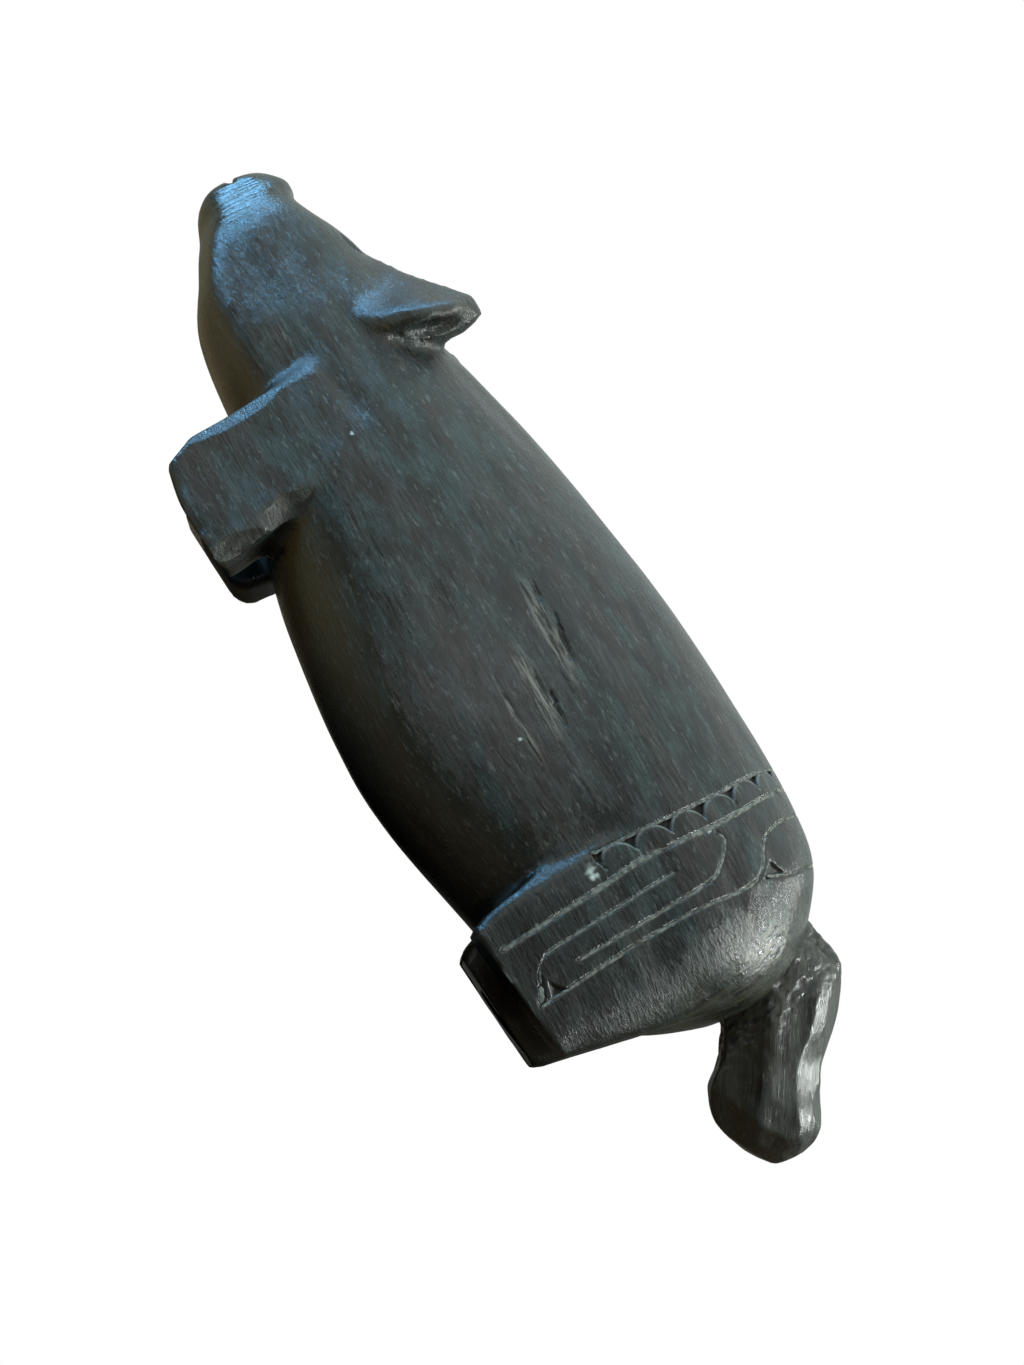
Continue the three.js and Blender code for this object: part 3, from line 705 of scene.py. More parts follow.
# torn grain: short ridges along the grain inside the chip and the splinters
torn = np.zeros(len(skin))
for x, z, long, wide, slope in carving["tears"]:
    ahead, over = skin[:, 0] - x, skin[:, 2] - z
    torn += np.exp(-(ahead / long) ** 4 - ((over - slope * ahead) / wide) ** 4)
torn *= skin[:, 1] > carving["tornFrom"]
wave = roughness(skin, carving["waves"]) + carving["tornHigh"] * torn * noise(skin, carving["tornRidges"])

# grooves, splits and mouth
depth = np.zeros(len(skin))
for name, (path, _) in limePaths.items():
    half = groove["broad"].get(name, groove["half"])
    share = nearPath(skin, path[::groove["skip"]], groove["reach"]) / half
    depth = np.maximum(depth, groove["deep"] * ease((1 - share) * groove["steep"]))
splitDepth = np.zeros(len(skin))
for (deep, half, _), path in zip(carving["splits"], splitPaths):
    half = half * (carving["splitShare"] + roughness(skin, carving["splitRough"]))
    share = nearPath(skin, path, carving["splitReach"]) / np.maximum(half, carving["splitLeast"])
    splitDepth = np.maximum(splitDepth, deep * ease(1 - share))
mouthDepth = mouth["deep"] * fadeIn(skin[:, 0], mouth["back"], mouth["fade"])
mouthDepth *= ease(1 - np.abs(skin[:, 2] - mouth["level"]) / mouth["half"])
splitDepth = np.maximum(splitDepth, mouthDepth)

# scallops: between two round lobes the front border keeps a pointed pit
s, f, girth = borderChart(skin)
k = np.clip(np.round((s - scallops["first"]) / scallops["pitch"]), 0, scallops["count"] - 1)
aside = np.clip(np.abs(s - scallops["first"] - k * scallops["pitch"]) / (scallops["pitch"] / 2), 0, 1)
lobe = scallops["reach"] * (1 - np.sqrt(1 - (1 - aside) ** 2))
start, end = scallops["between"]
band = (f > start) & (f < end) & (girth < scallops["lowest"]) & byScallops(skin)
pits = np.where(band, scallops["deep"] * ease((lobe - f) * borderGap / scallops["wall"]), 0)
for corners in notches:
    pits = np.maximum(pits, ornament["notchDeep"] * ease(insideOf(skin, corners) / ornament["notchWall"]))
arcs = np.exp(-(((f - lobe) * borderGap) / scallops["arc"]) ** 2)
arcs *= band & (f < lobe + scallops["arcBeyond"]) & (aside < scallops["arcShare"])
depth = np.maximum(np.maximum(depth, pits), splitDepth)
skin = skin + (wave - depth)[:, None] * normals
setPoints(pigMesh, skin / metre)
print("lines cut")


# Masks for the material: where the wood is worn, dirty, torn or chalky, and where shade, a table's
# reflection and light are painted on it

wear = {
    # how steeply marks ease in with the bend, facing down or crumbling, and from where
    "ridge": (9, 0.5), "hollow": (8, 0.5), "under": (1.7, 0.4), "bareFaces": (2.2, 0.8), "crumb": (1.6, 0.5),
    # how high and how large
    "crumbRough": (1.3, 0.55),
    "choppedRough": (0.4, 1.2),
    "choppedShare": 0.8,
    # each mark fades in along X (0), out from the middle (1) or up (2): from where and over how much, below
    # 0 where it goes backwards, inwards or down
    "fades": {
        "bare": [(0, -5, 25)], "matt": [(0, -55, -6), (2, 37, -9)],
        "raspedRump": [(0, -60, -6), (2, 12, 12)], "raspedMuzzle": [(0, 82, 6), (2, 46, -3)],
        "paintedLegShade": [(0, -32, -3), (2, 24, -18)], "shadeBetweenLegs": [(1, 14, -2), (2, 16, -4)],
        "farLegShade": [(2, 30.5, -8)], "farFootShade": [(2, 18, -6)],
    },
    # where the legs begin, where the far front leg and its foot end, and from which y the far side counts
    "hindLegs": -34, "farHindLeg": -30, "frontLegs": 30, "farLegEnd": 45, "farFootEnd": 46, "farSide": -4,
    "turned": 0.3,  # how far the far feet's faces have to be turned
    # dirt rubbed into the arch's corner, and painted shade in the corners beside the legs: half width, on
    # one side or on both, points near the skin
    "stainsAndShade": [
        (0.9, 1, [(-46.3, 17, 44.6), (-47.4, 17.2, 43.6), (-48.8, 17.2, 43.1)]),
        (1.7, 2, [(55.8, 17.2, 32), (55.4, 17, 27), (55.2, 16.6, 22)]),
        (1.1, 2, [(-35.0, 20.6, 20.5), (-34.9, 20.4, 16.5), (-34.9, 19.8, 12)]),
    ],
    "stainSteep": 1.4,
    # how dark each place is made, with dirt or painted shade, and how deep pits and splits are where they
    # are darkest
    "dirtAndShade": {"matt": 0.4, "farFootShade": 0.9, "stainsAndShade": 0.9, "chopped": 0.75, "pits": 0.8, "splits": 0.7},
    "full": {"pits": 0.5, "splits": 0.25},
    # share of painted shade low on the hind legs
    "paintedLegShade": 0.8,
    "chalk": 0.75,
    # the far hind leg's faces are painted lighter, as painted light, and lose most of their painted shade
    "farHindPaintedLight": 0.8,
    "farHindShadeLifted": 0.75,
}


def bend(mesh):
    # How far the neighbours' mean lies below each point, as a share of the edges' length: above 0 on ridges
    points, normals, edges = getPoints(mesh), getNormals(mesh), getEdges(mesh)
    mean = neighbourMean(points, edges)
    length = np.linalg.norm(np.diff(points[edges], axis=1)[:, 0], axis=1)
    value = ((points - mean) * normals).sum(1) / np.median(length)
    for _ in range(2):
        value = 0.5 * value + 0.5 * neighbourMean(value[:, None], edges)[:, 0]
    return value


def finishMesh(mesh, marks):
    # Adds to the given marks the worn ridges and darker creases, eased from the bend, and the underside,
    # whose brown is partly the wood's own and partly a painted reflection of the table
    setSmooth(mesh)
    value = bend(mesh)
    marks = dict(marks, ridge=steeply(value, *wear["ridge"]),
                 creaseDirtAndShade=marks["creaseDirtAndShade"] + steeply(-value, *wear["hollow"]),
                 # faces turned down get brown, partly the wood's own and partly a painted reflection of the
                 # table
                 under=steeply(-getNormals(mesh)[:, 2], *wear["under"]))
    for name, mark in marks.items():
        setAttribute(mesh, name, np.clip(mark, 0, 1))


pig = objectFrom("pigBody", pigMesh)
x, y, z = skin.T
facing = getNormals(pigMesh)
fades = {}
for name, rows in wear["fades"].items():
    fades[name] = np.prod([fadeIn((x, np.abs(y), z)[k], *fade) for k, *fade in rows], axis=0)
farFront = (y < wear["farSide"]) & (x > wear["frontLegs"])
farHind = (y < wear["farSide"]) & (x < wear["farHindLeg"]) & (facing[:, 1] > wear["turned"])
crumbled = np.zeros(len(skin))
for atX, atZ, long, high in carving["crumbs"]:
    crumbled += np.exp(-((x - atX) / long) ** 2 - ((z - atZ) / high) ** 2)
crumbled = steeply(crumbled * (1 + roughness(skin, wear["crumbRough"])), *wear["crumb"])
crumbled *= y > carving["crumbFrom"]

# painted shade low on the hind legs, between the legs and on the far front leg
paintedLegShade = fades["paintedLegShade"] * (x < wear["hindLegs"])
shadeBetweenLegs = fades["shadeBetweenLegs"] * ((x > wear["frontLegs"]) | (x < wear["hindLegs"]))
shadeBetweenLegs = np.maximum(shadeBetweenLegs, fades["farLegShade"] * (farFront & (x < wear["farLegEnd"])))

# darker and rougher: painted shade on the far front foot's heel and sole, dirt and painted shade in the
# corners, and darker chops, pits, splits and lower rump
turnedAway = np.minimum(facing[:, 0], facing[:, 2]) < -wear["turned"]
stainedAndShaded = np.zeros(len(skin))
for wide, sides, path in wear["stainsAndShade"]:
    for flip in bothSides[:sides]:
        distance = nearPath(skin, smoothRows(path, carving["pathSteps"]) * flip, wide + 1)
        stainedAndShaded = np.maximum(stainedAndShaded, ease(wear["stainSteep"] * (1 - distance / wide)))
dirtyAndShaded = {
    "matt": fades["matt"],
    # painted shade on the far front foot's heel and sole, which face down or back
    "farFootShade": fades["farFootShade"] * (farFront & (x < wear["farFootEnd"]) & turnedAway),
    "stainsAndShade": stainedAndShaded,
    "chopped": chopped * (wear["choppedShare"] + roughness(skin, wear["choppedRough"])),
    "pits": ease(pits / wear["full"]["pits"]),
    "splits": ease(splitDepth / wear["full"]["splits"]),
}
dirtAndShadeSum = sum(wear["dirtAndShade"][name] * mark for name, mark in dirtyAndShaded.items())
# golden brown on downward faces towards the snout: partly bare wood, partly a painted reflection of the lit
# table
bare = fades["bare"] * steeply(-facing[:, 2], *wear["bareFaces"])
finishMesh(pigMesh, {
    "creaseDirtAndShade": dirtAndShadeSum, "chalk": wear["chalk"] * arcs, "crumb": crumbled, "torn": torn,
    "rasped": fades["raspedRump"] + fades["raspedMuzzle"],
    # the far hind leg gets a painted glow, lighter as if lit, and less painted shade
    "bare": np.maximum(bare, wear["farHindPaintedLight"] * farHind),
    "paintedLegShade": (wear["paintedLegShade"] * paintedLegShade + shadeBetweenLegs) * (1 - wear["farHindShadeLifted"] * farHind)})
print("block marked")


# Tail: eight-sided sections between an upper and a lower line, then long knife cuts

tail = {
    # root to tip: x and level of the upper line, then of the lower line, and half width
    "rows": [
        (-58, 48.5, -63, 30.5, 6.4), (-68, 49.8, -69.6, 29, 6.6), (-74.7, 49.9, -71.6, 28.4, 6.8),
        (-81.1, 44.6, -73.8, 26.6, 6.6), (-85.1, 38.3, -76.2, 24.2, 6.4), (-88.2, 35.7, -78.6, 20.8, 6.6),
        (-92.2, 33.2, -83.4, 18.6, 6.6), (-94.4, 30.2, -89.8, 20.3, 5.2), (-95, 27, -94.4, 23, 2.4),
    ],
    "grid": (190, 200),
    "sides": 8,
    # knife cuts on both sides, given for the left: near which point, facing, along, deep, long, wide, reach
    "cuts": [
        ((-81, 4, 42.5), (-0.64, 0.45, 0.62), (-0.6, 0, -0.8), 0.5, 10, 4.5, 3),
        ((-91, 3.5, 32.5), (-0.42, 0.5, 0.76), (-0.95, 0, -0.35), 0.4, 3, 4, 1),
        ((-74, 6.3, 43), (0, 0.95, 0.3), (-0.3, 0, -0.95), 0.45, 7, 3.6, 3),
        ((-81, 6, 34.5), (-0.05, 1, 0.05), (-0.7, 0, -0.7), 0.4, 10, 3.5, 3),
        ((-75.5, 5.5, 32), (0.25, 0.85, -0.45), (-0.55, 0, -0.83), 0.6, 10, 3.6, 3),
        ((-88.5, 5.5, 27), (-0.1, 0.98, -0.05), (-1, 0, -0.3), 0.45, 6, 4, 3),
        ((-84, 4, 21.5), (0.1, 0.6, -0.8), (-1, 0, -0.2), 0.6, 7, 3.5, 3),
        ((-91.5, 4.5, 24.5), (-0.3, 0.8, -0.5), (-0.9, 0, 0.4), 0.5, 4, 3, 3),
    ],
    "relaxed": 3,  # how many times, before the cuts
    "cutSpread": 4.0,
    "softened": (20, 0.5, 0.1),  # how many times, and the steps there and back
    "root": (-79, 6),  # crusted ahead of this x
    "crustHigh": 0.2,
    "crustSize": (0.7, 0.8, 1.1),
    "crustDirt": (2.5, 0.3),
    "rootTorn": 0.12,
    # how high and how large
    "rough": (0.04, (1.6, 1.2, 1.2)),
    "lumps": (0.05, 4.0),
}


def tailSurface():
    # Round each section the radius is that of a polygon: the flat's distance over the cosine from its middle
    rings, count = tail["grid"]
    rows = smoothRows(tail["rows"], rings)
    angle = np.linspace(0, 2 * np.pi, count, endpoint=False)
    wedge = 2 * np.pi / tail["sides"]
    radius = 1 / np.cos((angle + wedge / 2) % wedge - wedge / 2)
    c, s = radius * np.cos(angle), radius * np.sin(angle)
    middle = (rows[:, 0:2] + rows[:, 2:4]) / 2
    upward = (rows[:, 0:2] - rows[:, 2:4]) / 2
    x = middle[:, 0:1] + upward[:, 0:1] * s
    z = middle[:, 1:2] + upward[:, 1:2] * s
    return np.stack([x, rows[:, 4:5] * c, z], -1)


tailPoints, tailFaces = closedGrid(tailSurface())
tailMesh = meshFrom("pigTail", tailPoints, tailFaces, 1)
tailEdges = getEdges(tailMesh)
tailPoints = relax(tailPoints, tailEdges, tail["relaxed"])
for near, facing, along, *sizes in tail["cuts"]:
    for flip in bothSides:
        at = tailPoints[nearest(tailPoints, near * flip)]
        tailPoints = scoop(tailPoints, at, facing * flip, along * flip, *sizes, tail["cutSpread"])
tailPoints = relax(tailPoints, tailEdges, *tail["softened"])
setPoints(tailMesh, tailPoints)
rootRough = fadeIn(tailPoints[:, 0], *tail["root"])
crust = noise(tailPoints, tail["crustSize"]) * rootRough
rough = roughness(tailPoints, tail["rough"]) + tail["crustHigh"] * crust
rough += roughness(tailPoints, tail["lumps"])
setPoints(tailMesh, (tailPoints + rough[:, None] * getNormals(tailMesh)) / metre)
tailPiece = objectFrom("pigTail", tailMesh)
finishMesh(tailMesh, {"creaseDirtAndShade": steeply(-crust, *tail["crustDirt"]), "torn": tail["rootTorn"] * rootRough})
print("tail:", len(tailMesh.vertices), "points")


# Lime: a thin ragged strip down each groove

lime = {
    "half": 0.25,
    "broad": {"lime_second_border": 0.40, "lime_hook_left": 0.18, "lime_hook_right": 0.18,
              "lime_foot_mark_left": 0.5},
    "sink": 0.05,
    "sunk": 1.3,  # times the sink, below the skin
    "deep": 0.3,
    # how much and how large
    "ragged": (0.35, 0.9),
    "uneven": (0.8, 0.5),
    "lost": 0.2,  # how deep the lime has gone in places
    "lostSize": 2.5,
    "lostWhere": (3, 0.9),
    "endPoints": 4,  # over how many points the ends narrow, and to what
    "endLeast": 0.15,
    "seedStep": 3.7,  # from strip to strip, then for its left and right edge, its crown and its gaps
    "seeds": (0, 5, 7, 11),
    # across the strip: shares of its half width and of its crown's height
    "profile": [(-1, -0.6), (-0.9, 0), (-0.45, 0.5), (0, 0.7), (0.45, 0.5), (0.9, 0), (1, -0.6), (0.5, -5),
                (-0.5, -5)],
    "grains": (1500, 1500, 1500),
    "grainsBetween": (0.35, 0.65),
    "colours": ((0.06, 0.062, 0.052, 1), (0.21, 0.215, 0.18, 1)),
    "rough": 0.85,
}


def limeStrip(path, normals, half, seed):
    # A profile carried along the path: a low crown between two ragged edges, closed underneath
    aside, up = np.array(lime["profile"]).T
    leftSeed, rightSeed, crownSeed, gapSeed = (seed + k for k in lime["seeds"])
    run = unit(np.gradient(path, axis=0))
    across = unit(np.cross(run, normals))
    normals = np.cross(across, run)
    left, right = (half * (1 + roughness(path, lime["ragged"], k)) for k in (leftSeed, rightSeed))
    fromEnd = np.minimum(np.arange(len(path)), np.arange(len(path))[::-1])
    pinch = np.minimum(1, fromEnd / lime["endPoints"] + lime["endLeast"])[:, None]
    wide = np.where(aside < 0, left[:, None], right[:, None]) * pinch
    crown = lime["sink"] * (1 + roughness(path, lime["uneven"], crownSeed))[:, None]
    lost = lime["lost"] * steeply(noise(path, lime["lostSize"], gapSeed), *lime["lostWhere"])[:, None]
    height = np.maximum(-lime["sunk"] * lime["sink"] - lost + up * crown, -lime["deep"])
    return path[:, None] + across[:, None] * (wide * aside)[..., None] + normals[:, None] * height[..., None]


limePieces = []
for i, (name, (path, outward)) in enumerate(limePaths.items()):
    half = lime["broad"].get(name, lime["half"])
    points, faces = closedGrid(limeStrip(path, outward, half, lime["seedStep"] * i))
    made = objectFrom("inlay_" + name, meshFrom("inlay_" + name, points, faces))
    setSmooth(made.data)
    limePieces.append((made, name))
print("lime strips:", len(limePieces))


# Materials

grainLook = {
    "lean": 0.07,
    # stretch across X, Y and Z, detail, roughness, and between which values it eases from 0 to 1
    "layers": {
        "Bands": ((28, 190, 190), 4.0, 0.6, 0.42, 0.60),
        "Lines": ((150, 1500, 1500), 5.0, 0.7, 0.32, 0.68),
        "Flecks": ((420, 1900, 1900), 4.0, 0.65, 0.55, 0.72),
        "Mottle": ((110, 240, 240), 6.0, 0.65, 0.36, 0.64),
        "Rasp": ((1500, 1500, 140), 3.0, 0.6, 0.35, 0.68),
        "Fibres": ((190, 2300, 2300), 3.0, 0.6, 0.42, 0.60),
    },
    "fine": ((450, 1700, 1700), 4.0, 0.65),
    "linesHigh": 0.6,
    "fineHigh": 0.4,
    "flecksDeep": 0.3,
}
# colours, roughness from dark to grey wood, bump, gloss and how far the grain is turned
blockLook = {
    "dark": (0.005, 0.010, 0.009, 1), "grey": (0.030, 0.052, 0.048, 1), "red": (0.055, 0.038, 0.031, 1),
    # the brown is partly a painted reflection of the table, the dark dirt colour also paints shade, and the
    # bare colour is partly a painted glow
    "brownAndReflectedTable": (0.055, 0.039, 0.018, 1), "rasp": (0.085, 0.088, 0.058, 1), "fleck": (0.13, 0.14, 0.125, 1),
    "worn": (0.07, 0.072, 0.062, 1), "dirtAndShade": (0.004, 0.004, 0.003, 1), "fibre": (0.19, 0.18, 0.145, 1),
    "chalk": (0.30, 0.31, 0.27, 1), "crumb": (0.62, 0.68, 0.60, 1), "bare": (0.11, 0.075, 0.036, 1),
    "rough": (0.17, 0.28), "bump": 0.38, "specular": 0.7, "turn": 0,
}
tailLook = dict(blockLook, **{
    "dark": (0.026, 0.028, 0.023, 1), "grey": (0.070, 0.073, 0.062, 1), "red": (0.056, 0.048, 0.036, 1),
    "brownAndReflectedTable": (0.040, 0.028, 0.015, 1), "rasp": (0.070, 0.072, 0.050, 1), "fleck": (0.12, 0.12, 0.10, 1),
    "worn": (0.09, 0.09, 0.075, 1), "rough": (0.16, 0.27), "bump": 0.28, "turn": 0.6,
})
woodLook = {
    # from the wood up: mask, its share and the colour that it lays on; the underside, bare, crease and
    # low-leg layers paint reflection, glow and shade in part or in whole
    "layers": [
        ("Bands", 0.45, "red"), ("Lines", 0.7, "dirtAndShade"), ("under", 0.75, "brownAndReflectedTable"), ("bare", 0.8, "bare"),
        ("raspLines", 0.7, "rasp"), ("Flecks", 0.6, "fleck"), ("torn", 0.5, "dirtAndShade"),
        ("tornFibres", 0.85, "fibre"), ("ridge", 0.4, "worn"), ("creaseDirtAndShade", 0.85, "dirtAndShade"),
        ("paintedLegShade", 0.85, "dirtAndShade"), ("chalk", 0.75, "chalk"), ("crumb", 0.9, "crumb"),
    ],
    "marks": ("creaseDirtAndShade", "ridge", "chalk", "crumb", "under", "bare", "rasped", "torn", "paintedLegShade"),
    "creaseRough": 0.4,
    "raspedSmooth": 0.11,
    "raspedCalm": 0.45,  # what rasping leaves of the grain's height
    "raspedHigh": 0.35,
    "bumpDistance": 0.0003,
}


def fill(tree, socket, value):
    # A socket takes a link from another socket, or a constant
    if isinstance(value, bpy.types.NodeSocket):
        tree.links.new(value, socket)
    else:
        socket.default_value = value


def addNode(tree, kind, inputs=None, **settings):
    # A node with its settings, and its inputs by name or number
    made = tree.nodes.new(kind)
    for key, value in settings.items():
        setattr(made, key, value)
    for key, value in (inputs or {}).items():
        fill(tree, made.inputs[key], value)
    return made


def ramp(tree, value, low, high, start=0.0, end=1.0):
    # Eased from the start to the end while the value goes from low to high
    inputs = {"Value": value, "From Min": low, "From Max": high, "To Min": start, "To Max": end}
    return addNode(tree, "ShaderNodeMapRange", inputs, interpolation_type="SMOOTHSTEP").outputs["Result"]


def mixed(tree, factor, a, b):
    # Colour a where the factor is 0, b where it is 1
    made = addNode(tree, "ShaderNodeMix", {0: factor, 6: a, 7: b}, data_type="RGBA")
    return made.outputs[2]


def combine(tree, operation, a, b):
    # The sum, difference or product of two values
    return addNode(tree, "ShaderNodeMath", {0: a, 1: b}, operation=operation).outputs[0]


def scaled(tree, value, share):
    return combine(tree, "MULTIPLY", value, share)


def noiseAt(tree, vector, stretch, detail=3.0, rough=0.55):
    # Noise of the place times the stretch, so a small stretch draws it out
    place = addNode(tree, "ShaderNodeVectorMath", {0: vector, 1: stretch}, operation="MULTIPLY")
    made = addNode(tree, "ShaderNodeTexNoise", {"Vector": place.outputs[0], "Scale": 1.0, "Detail": detail,
                                                "Roughness": rough})
    return made.outputs["Fac"]


def placeIn(tree, kind):
    # Where a shaded point lies on its object, or in the sky
    return addNode(tree, "ShaderNodeTexCoord").outputs[kind]


def turned(tree, vector, angle):
    # A place turned round Y
    made = addNode(tree, "ShaderNodeMapping", {"Vector": vector, "Rotation": (0, angle, 0)})
    return made.outputs["Vector"]


def grainGroup():
    # A layer of drawn-out noise for each kind of grain; the height is lines and fine grain, less the flecks
    tree = bpy.data.node_groups.new("darkWoodGrain", "ShaderNodeTree")
    tree.interface.new_socket("Vector", in_out="INPUT", socket_type="NodeSocketVector")
    vector = turned(tree, addNode(tree, "NodeGroupInput").outputs["Vector"], grainLook["lean"])
    layers = {}
    for name, (stretch, detail, rough, low, high) in grainLook["layers"].items():
        layers[name] = ramp(tree, noiseAt(tree, vector, stretch, detail, rough), low, high)
    lines = scaled(tree, layers["Lines"], grainLook["linesHigh"])
    fine = scaled(tree, noiseAt(tree, vector, *grainLook["fine"]), grainLook["fineHigh"])
    flecks = scaled(tree, layers["Flecks"], grainLook["flecksDeep"])
    layers["Height"] = combine(tree, "SUBTRACT", combine(tree, "ADD", lines, fine), flecks)
    for name in layers:
        tree.interface.new_socket(name, in_out="OUTPUT", socket_type="NodeSocketFloat")
    out = addNode(tree, "NodeGroupOutput")
    for name, socket in layers.items():
        tree.links.new(socket, out.inputs[name])
    return tree


grain = grainGroup()


def emptyMaterial(name):
    # A new material with its tree and its main shader
    material = bpy.data.materials.new(name)
    material.use_nodes = True
    return material, material.node_tree, material.node_tree.nodes["Principled BSDF"]


def woodMaterial(name, look):
    # Dark to grey by the mottle, then each layer mixed over by its mask times its share
    material, tree, shader = emptyMaterial(name)
    place = turned(tree, placeIn(tree, "Object"), look["turn"])
    wood = addNode(tree, "ShaderNodeGroup", node_tree=grain)
    tree.links.new(place, wood.inputs["Vector"])
    masks = {key: wood.outputs[key] for key in grainLook["layers"]}
    for key in woodLook["marks"]:
        masks[key] = addNode(tree, "ShaderNodeAttribute", attribute_name=key).outputs["Fac"]
    masks["tornFibres"] = scaled(tree, masks["Fibres"], masks["torn"])
    masks["raspLines"] = scaled(tree, masks["Rasp"], masks["rasped"])

    colour = mixed(tree, masks["Mottle"], look["dark"], look["grey"])
    for mask, share, over in woodLook["layers"]:
        colour = mixed(tree, scaled(tree, masks[mask], share), colour, look[over])
    fill(tree, shader.inputs["Base Color"], colour)

    rough = ramp(tree, masks["Mottle"], 0, 1, *look["rough"])
    rough = combine(tree, "ADD", rough, scaled(tree, masks["creaseDirtAndShade"], woodLook["creaseRough"]))
    rough = combine(tree, "SUBTRACT", rough, scaled(tree, masks["rasped"], woodLook["raspedSmooth"]))
    fill(tree, shader.inputs["Roughness"], rough)

    calm = ramp(tree, masks["rasped"], 0, 1, 1.0, woodLook["raspedCalm"])
    height = scaled(tree, wood.outputs["Height"], calm)
    height = combine(tree, "ADD", height, scaled(tree, masks["raspLines"], woodLook["raspedHigh"]))
    height = combine(tree, "ADD", height, masks["tornFibres"])
    bump = addNode(tree, "ShaderNodeBump", {"Height": height, "Strength": look["bump"],
                                            "Distance": woodLook["bumpDistance"]})
    fill(tree, shader.inputs["Normal"], bump.outputs["Normal"])
    fill(tree, shader.inputs["Specular IOR Level"], look["specular"])
    return material


def limeMaterial():
    # Grey to white by a fine noise
    material, tree, shader = emptyMaterial("limeChalk")
    grains = ramp(tree, noiseAt(tree, placeIn(tree, "Object"), lime["grains"]), *lime["grainsBetween"])
    fill(tree, shader.inputs["Base Color"], mixed(tree, grains, *lime["colours"]))
    fill(tree, shader.inputs["Roughness"], lime["rough"])
    return material


pigMesh.materials.append(woodMaterial("carvedWood", blockLook))
tailMesh.materials.append(woodMaterial("tailWood", tailLook))
limeChalk = limeMaterial()
for piece, node, slot in [(pig, "carved_block", "dark_wood"), (tailPiece, "tail", "dark_wood")]:
    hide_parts(node)
    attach(piece, "root")
for piece, node in limePieces:
    piece.data.materials.append(limeChalk)
    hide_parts(node)
    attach(piece, "root")
print("materials set")


# Stage: floor, soft lights, white beyond, and a camera low at the pig's left side, rolled as the picture is

stage = {
    "floorHalf": 1.5,
    "floorRough": 0.9,
    "floorSeen": (0.8, 0.8, 0.8, 1),
    # what the wood mirrors: the floor from rump to snout, painted lighter towards the snout as window light
    # on the table, and the sky from low to high, leaning forwards
    "floorMirroredPaintedLit": ((0.06, 0.045, 0.026, 1), (0.20, 0.13, 0.06, 1)),
    "floorBetween": (-0.03, 0.07),
    "skyMirrored": ((0.08, 0.08, 0.07, 1), (0.92, 1.03, 1.0, 1)),
    "skyBetween": (-0.1, 0.95),
    "skyLean": 0.12,
    "lamps": [
        # name, at, size, power, colour
        ("frontWindow", (0.87, 0.41, 0.26), (0.26, 0.34), 9.0, (0.20, 0.57, 1.0)),
        ("rearTop", (-0.54, 0.23, 0.57), (0.06, 0.16), 5.0, (0.93, 1.0, 0.96)),
        ("cameraSide", (0.32, 0.72, 0.40), (0.6, 0.5), 0.45, (0.90, 1.0, 0.98)),
        ("lowGlint", (0.02, 0.16, 0.006), (0.07, 0.01), 0.014, (0.9, 1.0, 1.0)),
    ],
    "cameraAt": (-0.0552, 0.3087, -0.0262),
    "looking": (0.1555, -0.9709, 0.1822),
    "roll": 57.3,
    "lens": 50.1,
    "sensor": 36,
    "clip": (0.01, 20),
}
upwards = (0, 0, 1)


def stand(made, axes, at):
    # The columns of the turn are the object's own X, Y and Z, and the last one is its place
    turn = np.eye(4)
    turn[:3, :3] = np.stack(axes, -1)
    turn[:3, 3] = at
    made.matrix_world = Matrix(turn.tolist())


def floorPaper():
    # Paper to the camera, to the wood a brown table with painted window light growing towards the snout, and
    # clear from below
    material, tree, shader = emptyMaterial("floorPaper")
    fill(tree, shader.inputs["Roughness"], stage["floorRough"])
    seen = addNode(tree, "ShaderNodeLightPath").outputs["Is Camera Ray"]
    place = addNode(tree, "ShaderNodeSeparateXYZ", {0: placeIn(tree, "Object")})
    # the table's colour grows lighter towards the snout: a painted pool of window light
    tableWithPaintedLight = mixed(tree, ramp(tree, place.outputs["X"], *stage["floorBetween"]), *stage["floorMirroredPaintedLit"])
    fill(tree, shader.inputs["Base Color"], mixed(tree, seen, tableWithPaintedLight, stage["floorSeen"]))
    clear = addNode(tree, "ShaderNodeBsdfTransparent")
    underside = addNode(tree, "ShaderNodeNewGeometry").outputs["Backfacing"]
    choose = addNode(tree, "ShaderNodeMixShader", {0: underside, 1: shader.outputs[0], 2: clear.outputs[0]})
    fill(tree, tree.nodes["Material Output"].inputs["Surface"], choose.outputs[0])
    return material


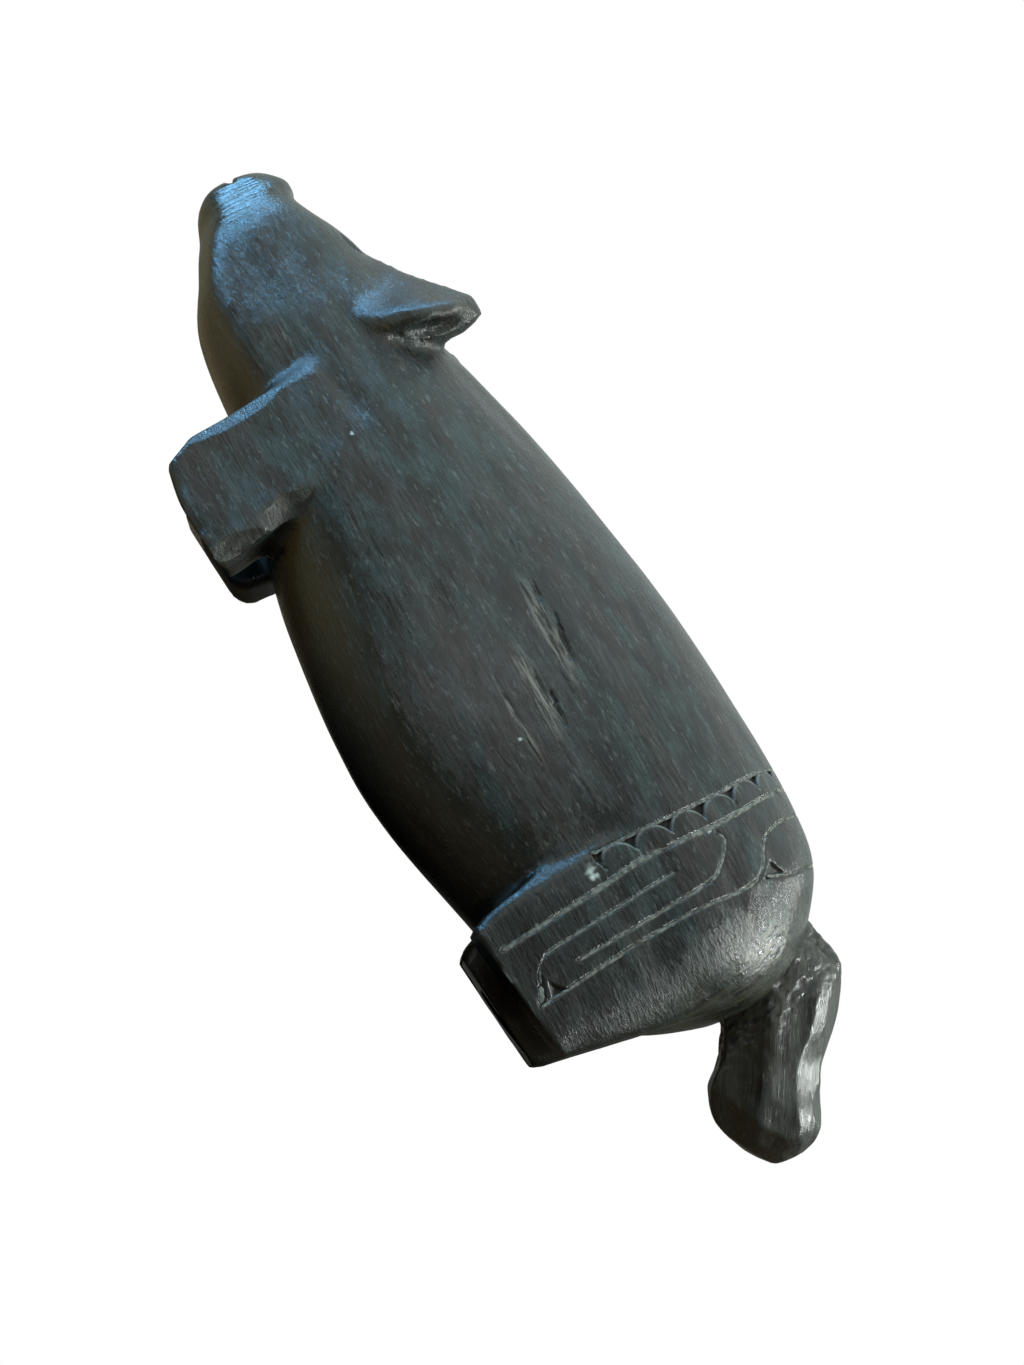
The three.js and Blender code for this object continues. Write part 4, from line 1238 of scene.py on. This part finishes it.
def studioWorld():
    # White to the camera; to the wood a sky that eases from dark to light with height
    world = bpy.data.worlds.new("studio")
    world.use_nodes = True
    tree = world.node_tree
    sky = tree.nodes["Background"]
    place = addNode(tree, "ShaderNodeSeparateXYZ", {0: placeIn(tree, "Generated")})
    high = combine(tree, "ADD", place.outputs["Z"], scaled(tree, place.outputs["X"], stage["skyLean"]))
    light = ramp(tree, high, *stage["skyBetween"])
    fill(tree, sky.inputs["Color"], mixed(tree, light, *stage["skyMirrored"]))
    fill(tree, sky.inputs["Strength"], 1.0)
    white = addNode(tree, "ShaderNodeBackground", {"Color": (1, 1, 1, 1), "Strength": 1.0})
    seen = addNode(tree, "ShaderNodeLightPath").outputs["Is Camera Ray"]
    choose = addNode(tree, "ShaderNodeMixShader", {0: seen, 1: sky.outputs[0], 2: white.outputs[0]})
    fill(tree, tree.nodes["World Output"].inputs["Surface"], choose.outputs[0])
    return world


half = stage["floorHalf"]
floorMesh = bpy.data.meshes.new("floor")
corners = [(-half, -half, 0), (half, -half, 0), (half, half, 0), (-half, half, 0)]
floorMesh.from_pydata(corners, [], [(0, 1, 2, 3)])
floorMesh.materials.append(floorPaper())
floor = objectFrom("floor", floorMesh)
bpy.context.scene.world = studioWorld()

for name, at, (wide, high), power, colour in stage["lamps"]:
    data = bpy.data.lights.new(name, "AREA")
    data.shape = "RECTANGLE"
    data.size, data.size_y, data.energy, data.color = wide, high, power, colour
    towards = -unit(at)
    aside = unit(np.cross(towards, upwards))
    stand(objectFrom(name, data), (aside, np.cross(aside, towards), -towards), at)

camera = objectFrom("camera", bpy.data.cameras.new("camera"))
camera.data.sensor_width, camera.data.lens = stage["sensor"], stage["lens"]
camera.data.clip_start, camera.data.clip_end = stage["clip"]
looking = unit(stage["looking"])
right = unit(np.cross(looking, upwards))
down = np.cross(looking, right)
c, s = np.cos(np.radians(stage["roll"])), np.sin(np.radians(stage["roll"]))
stand(camera, (c * right - s * down, -(s * right + c * down), -looking), stage["cameraAt"])
bpy.context.scene.camera = camera
bpy.context.scene.view_settings.view_transform = "Standard"
print("stage set")
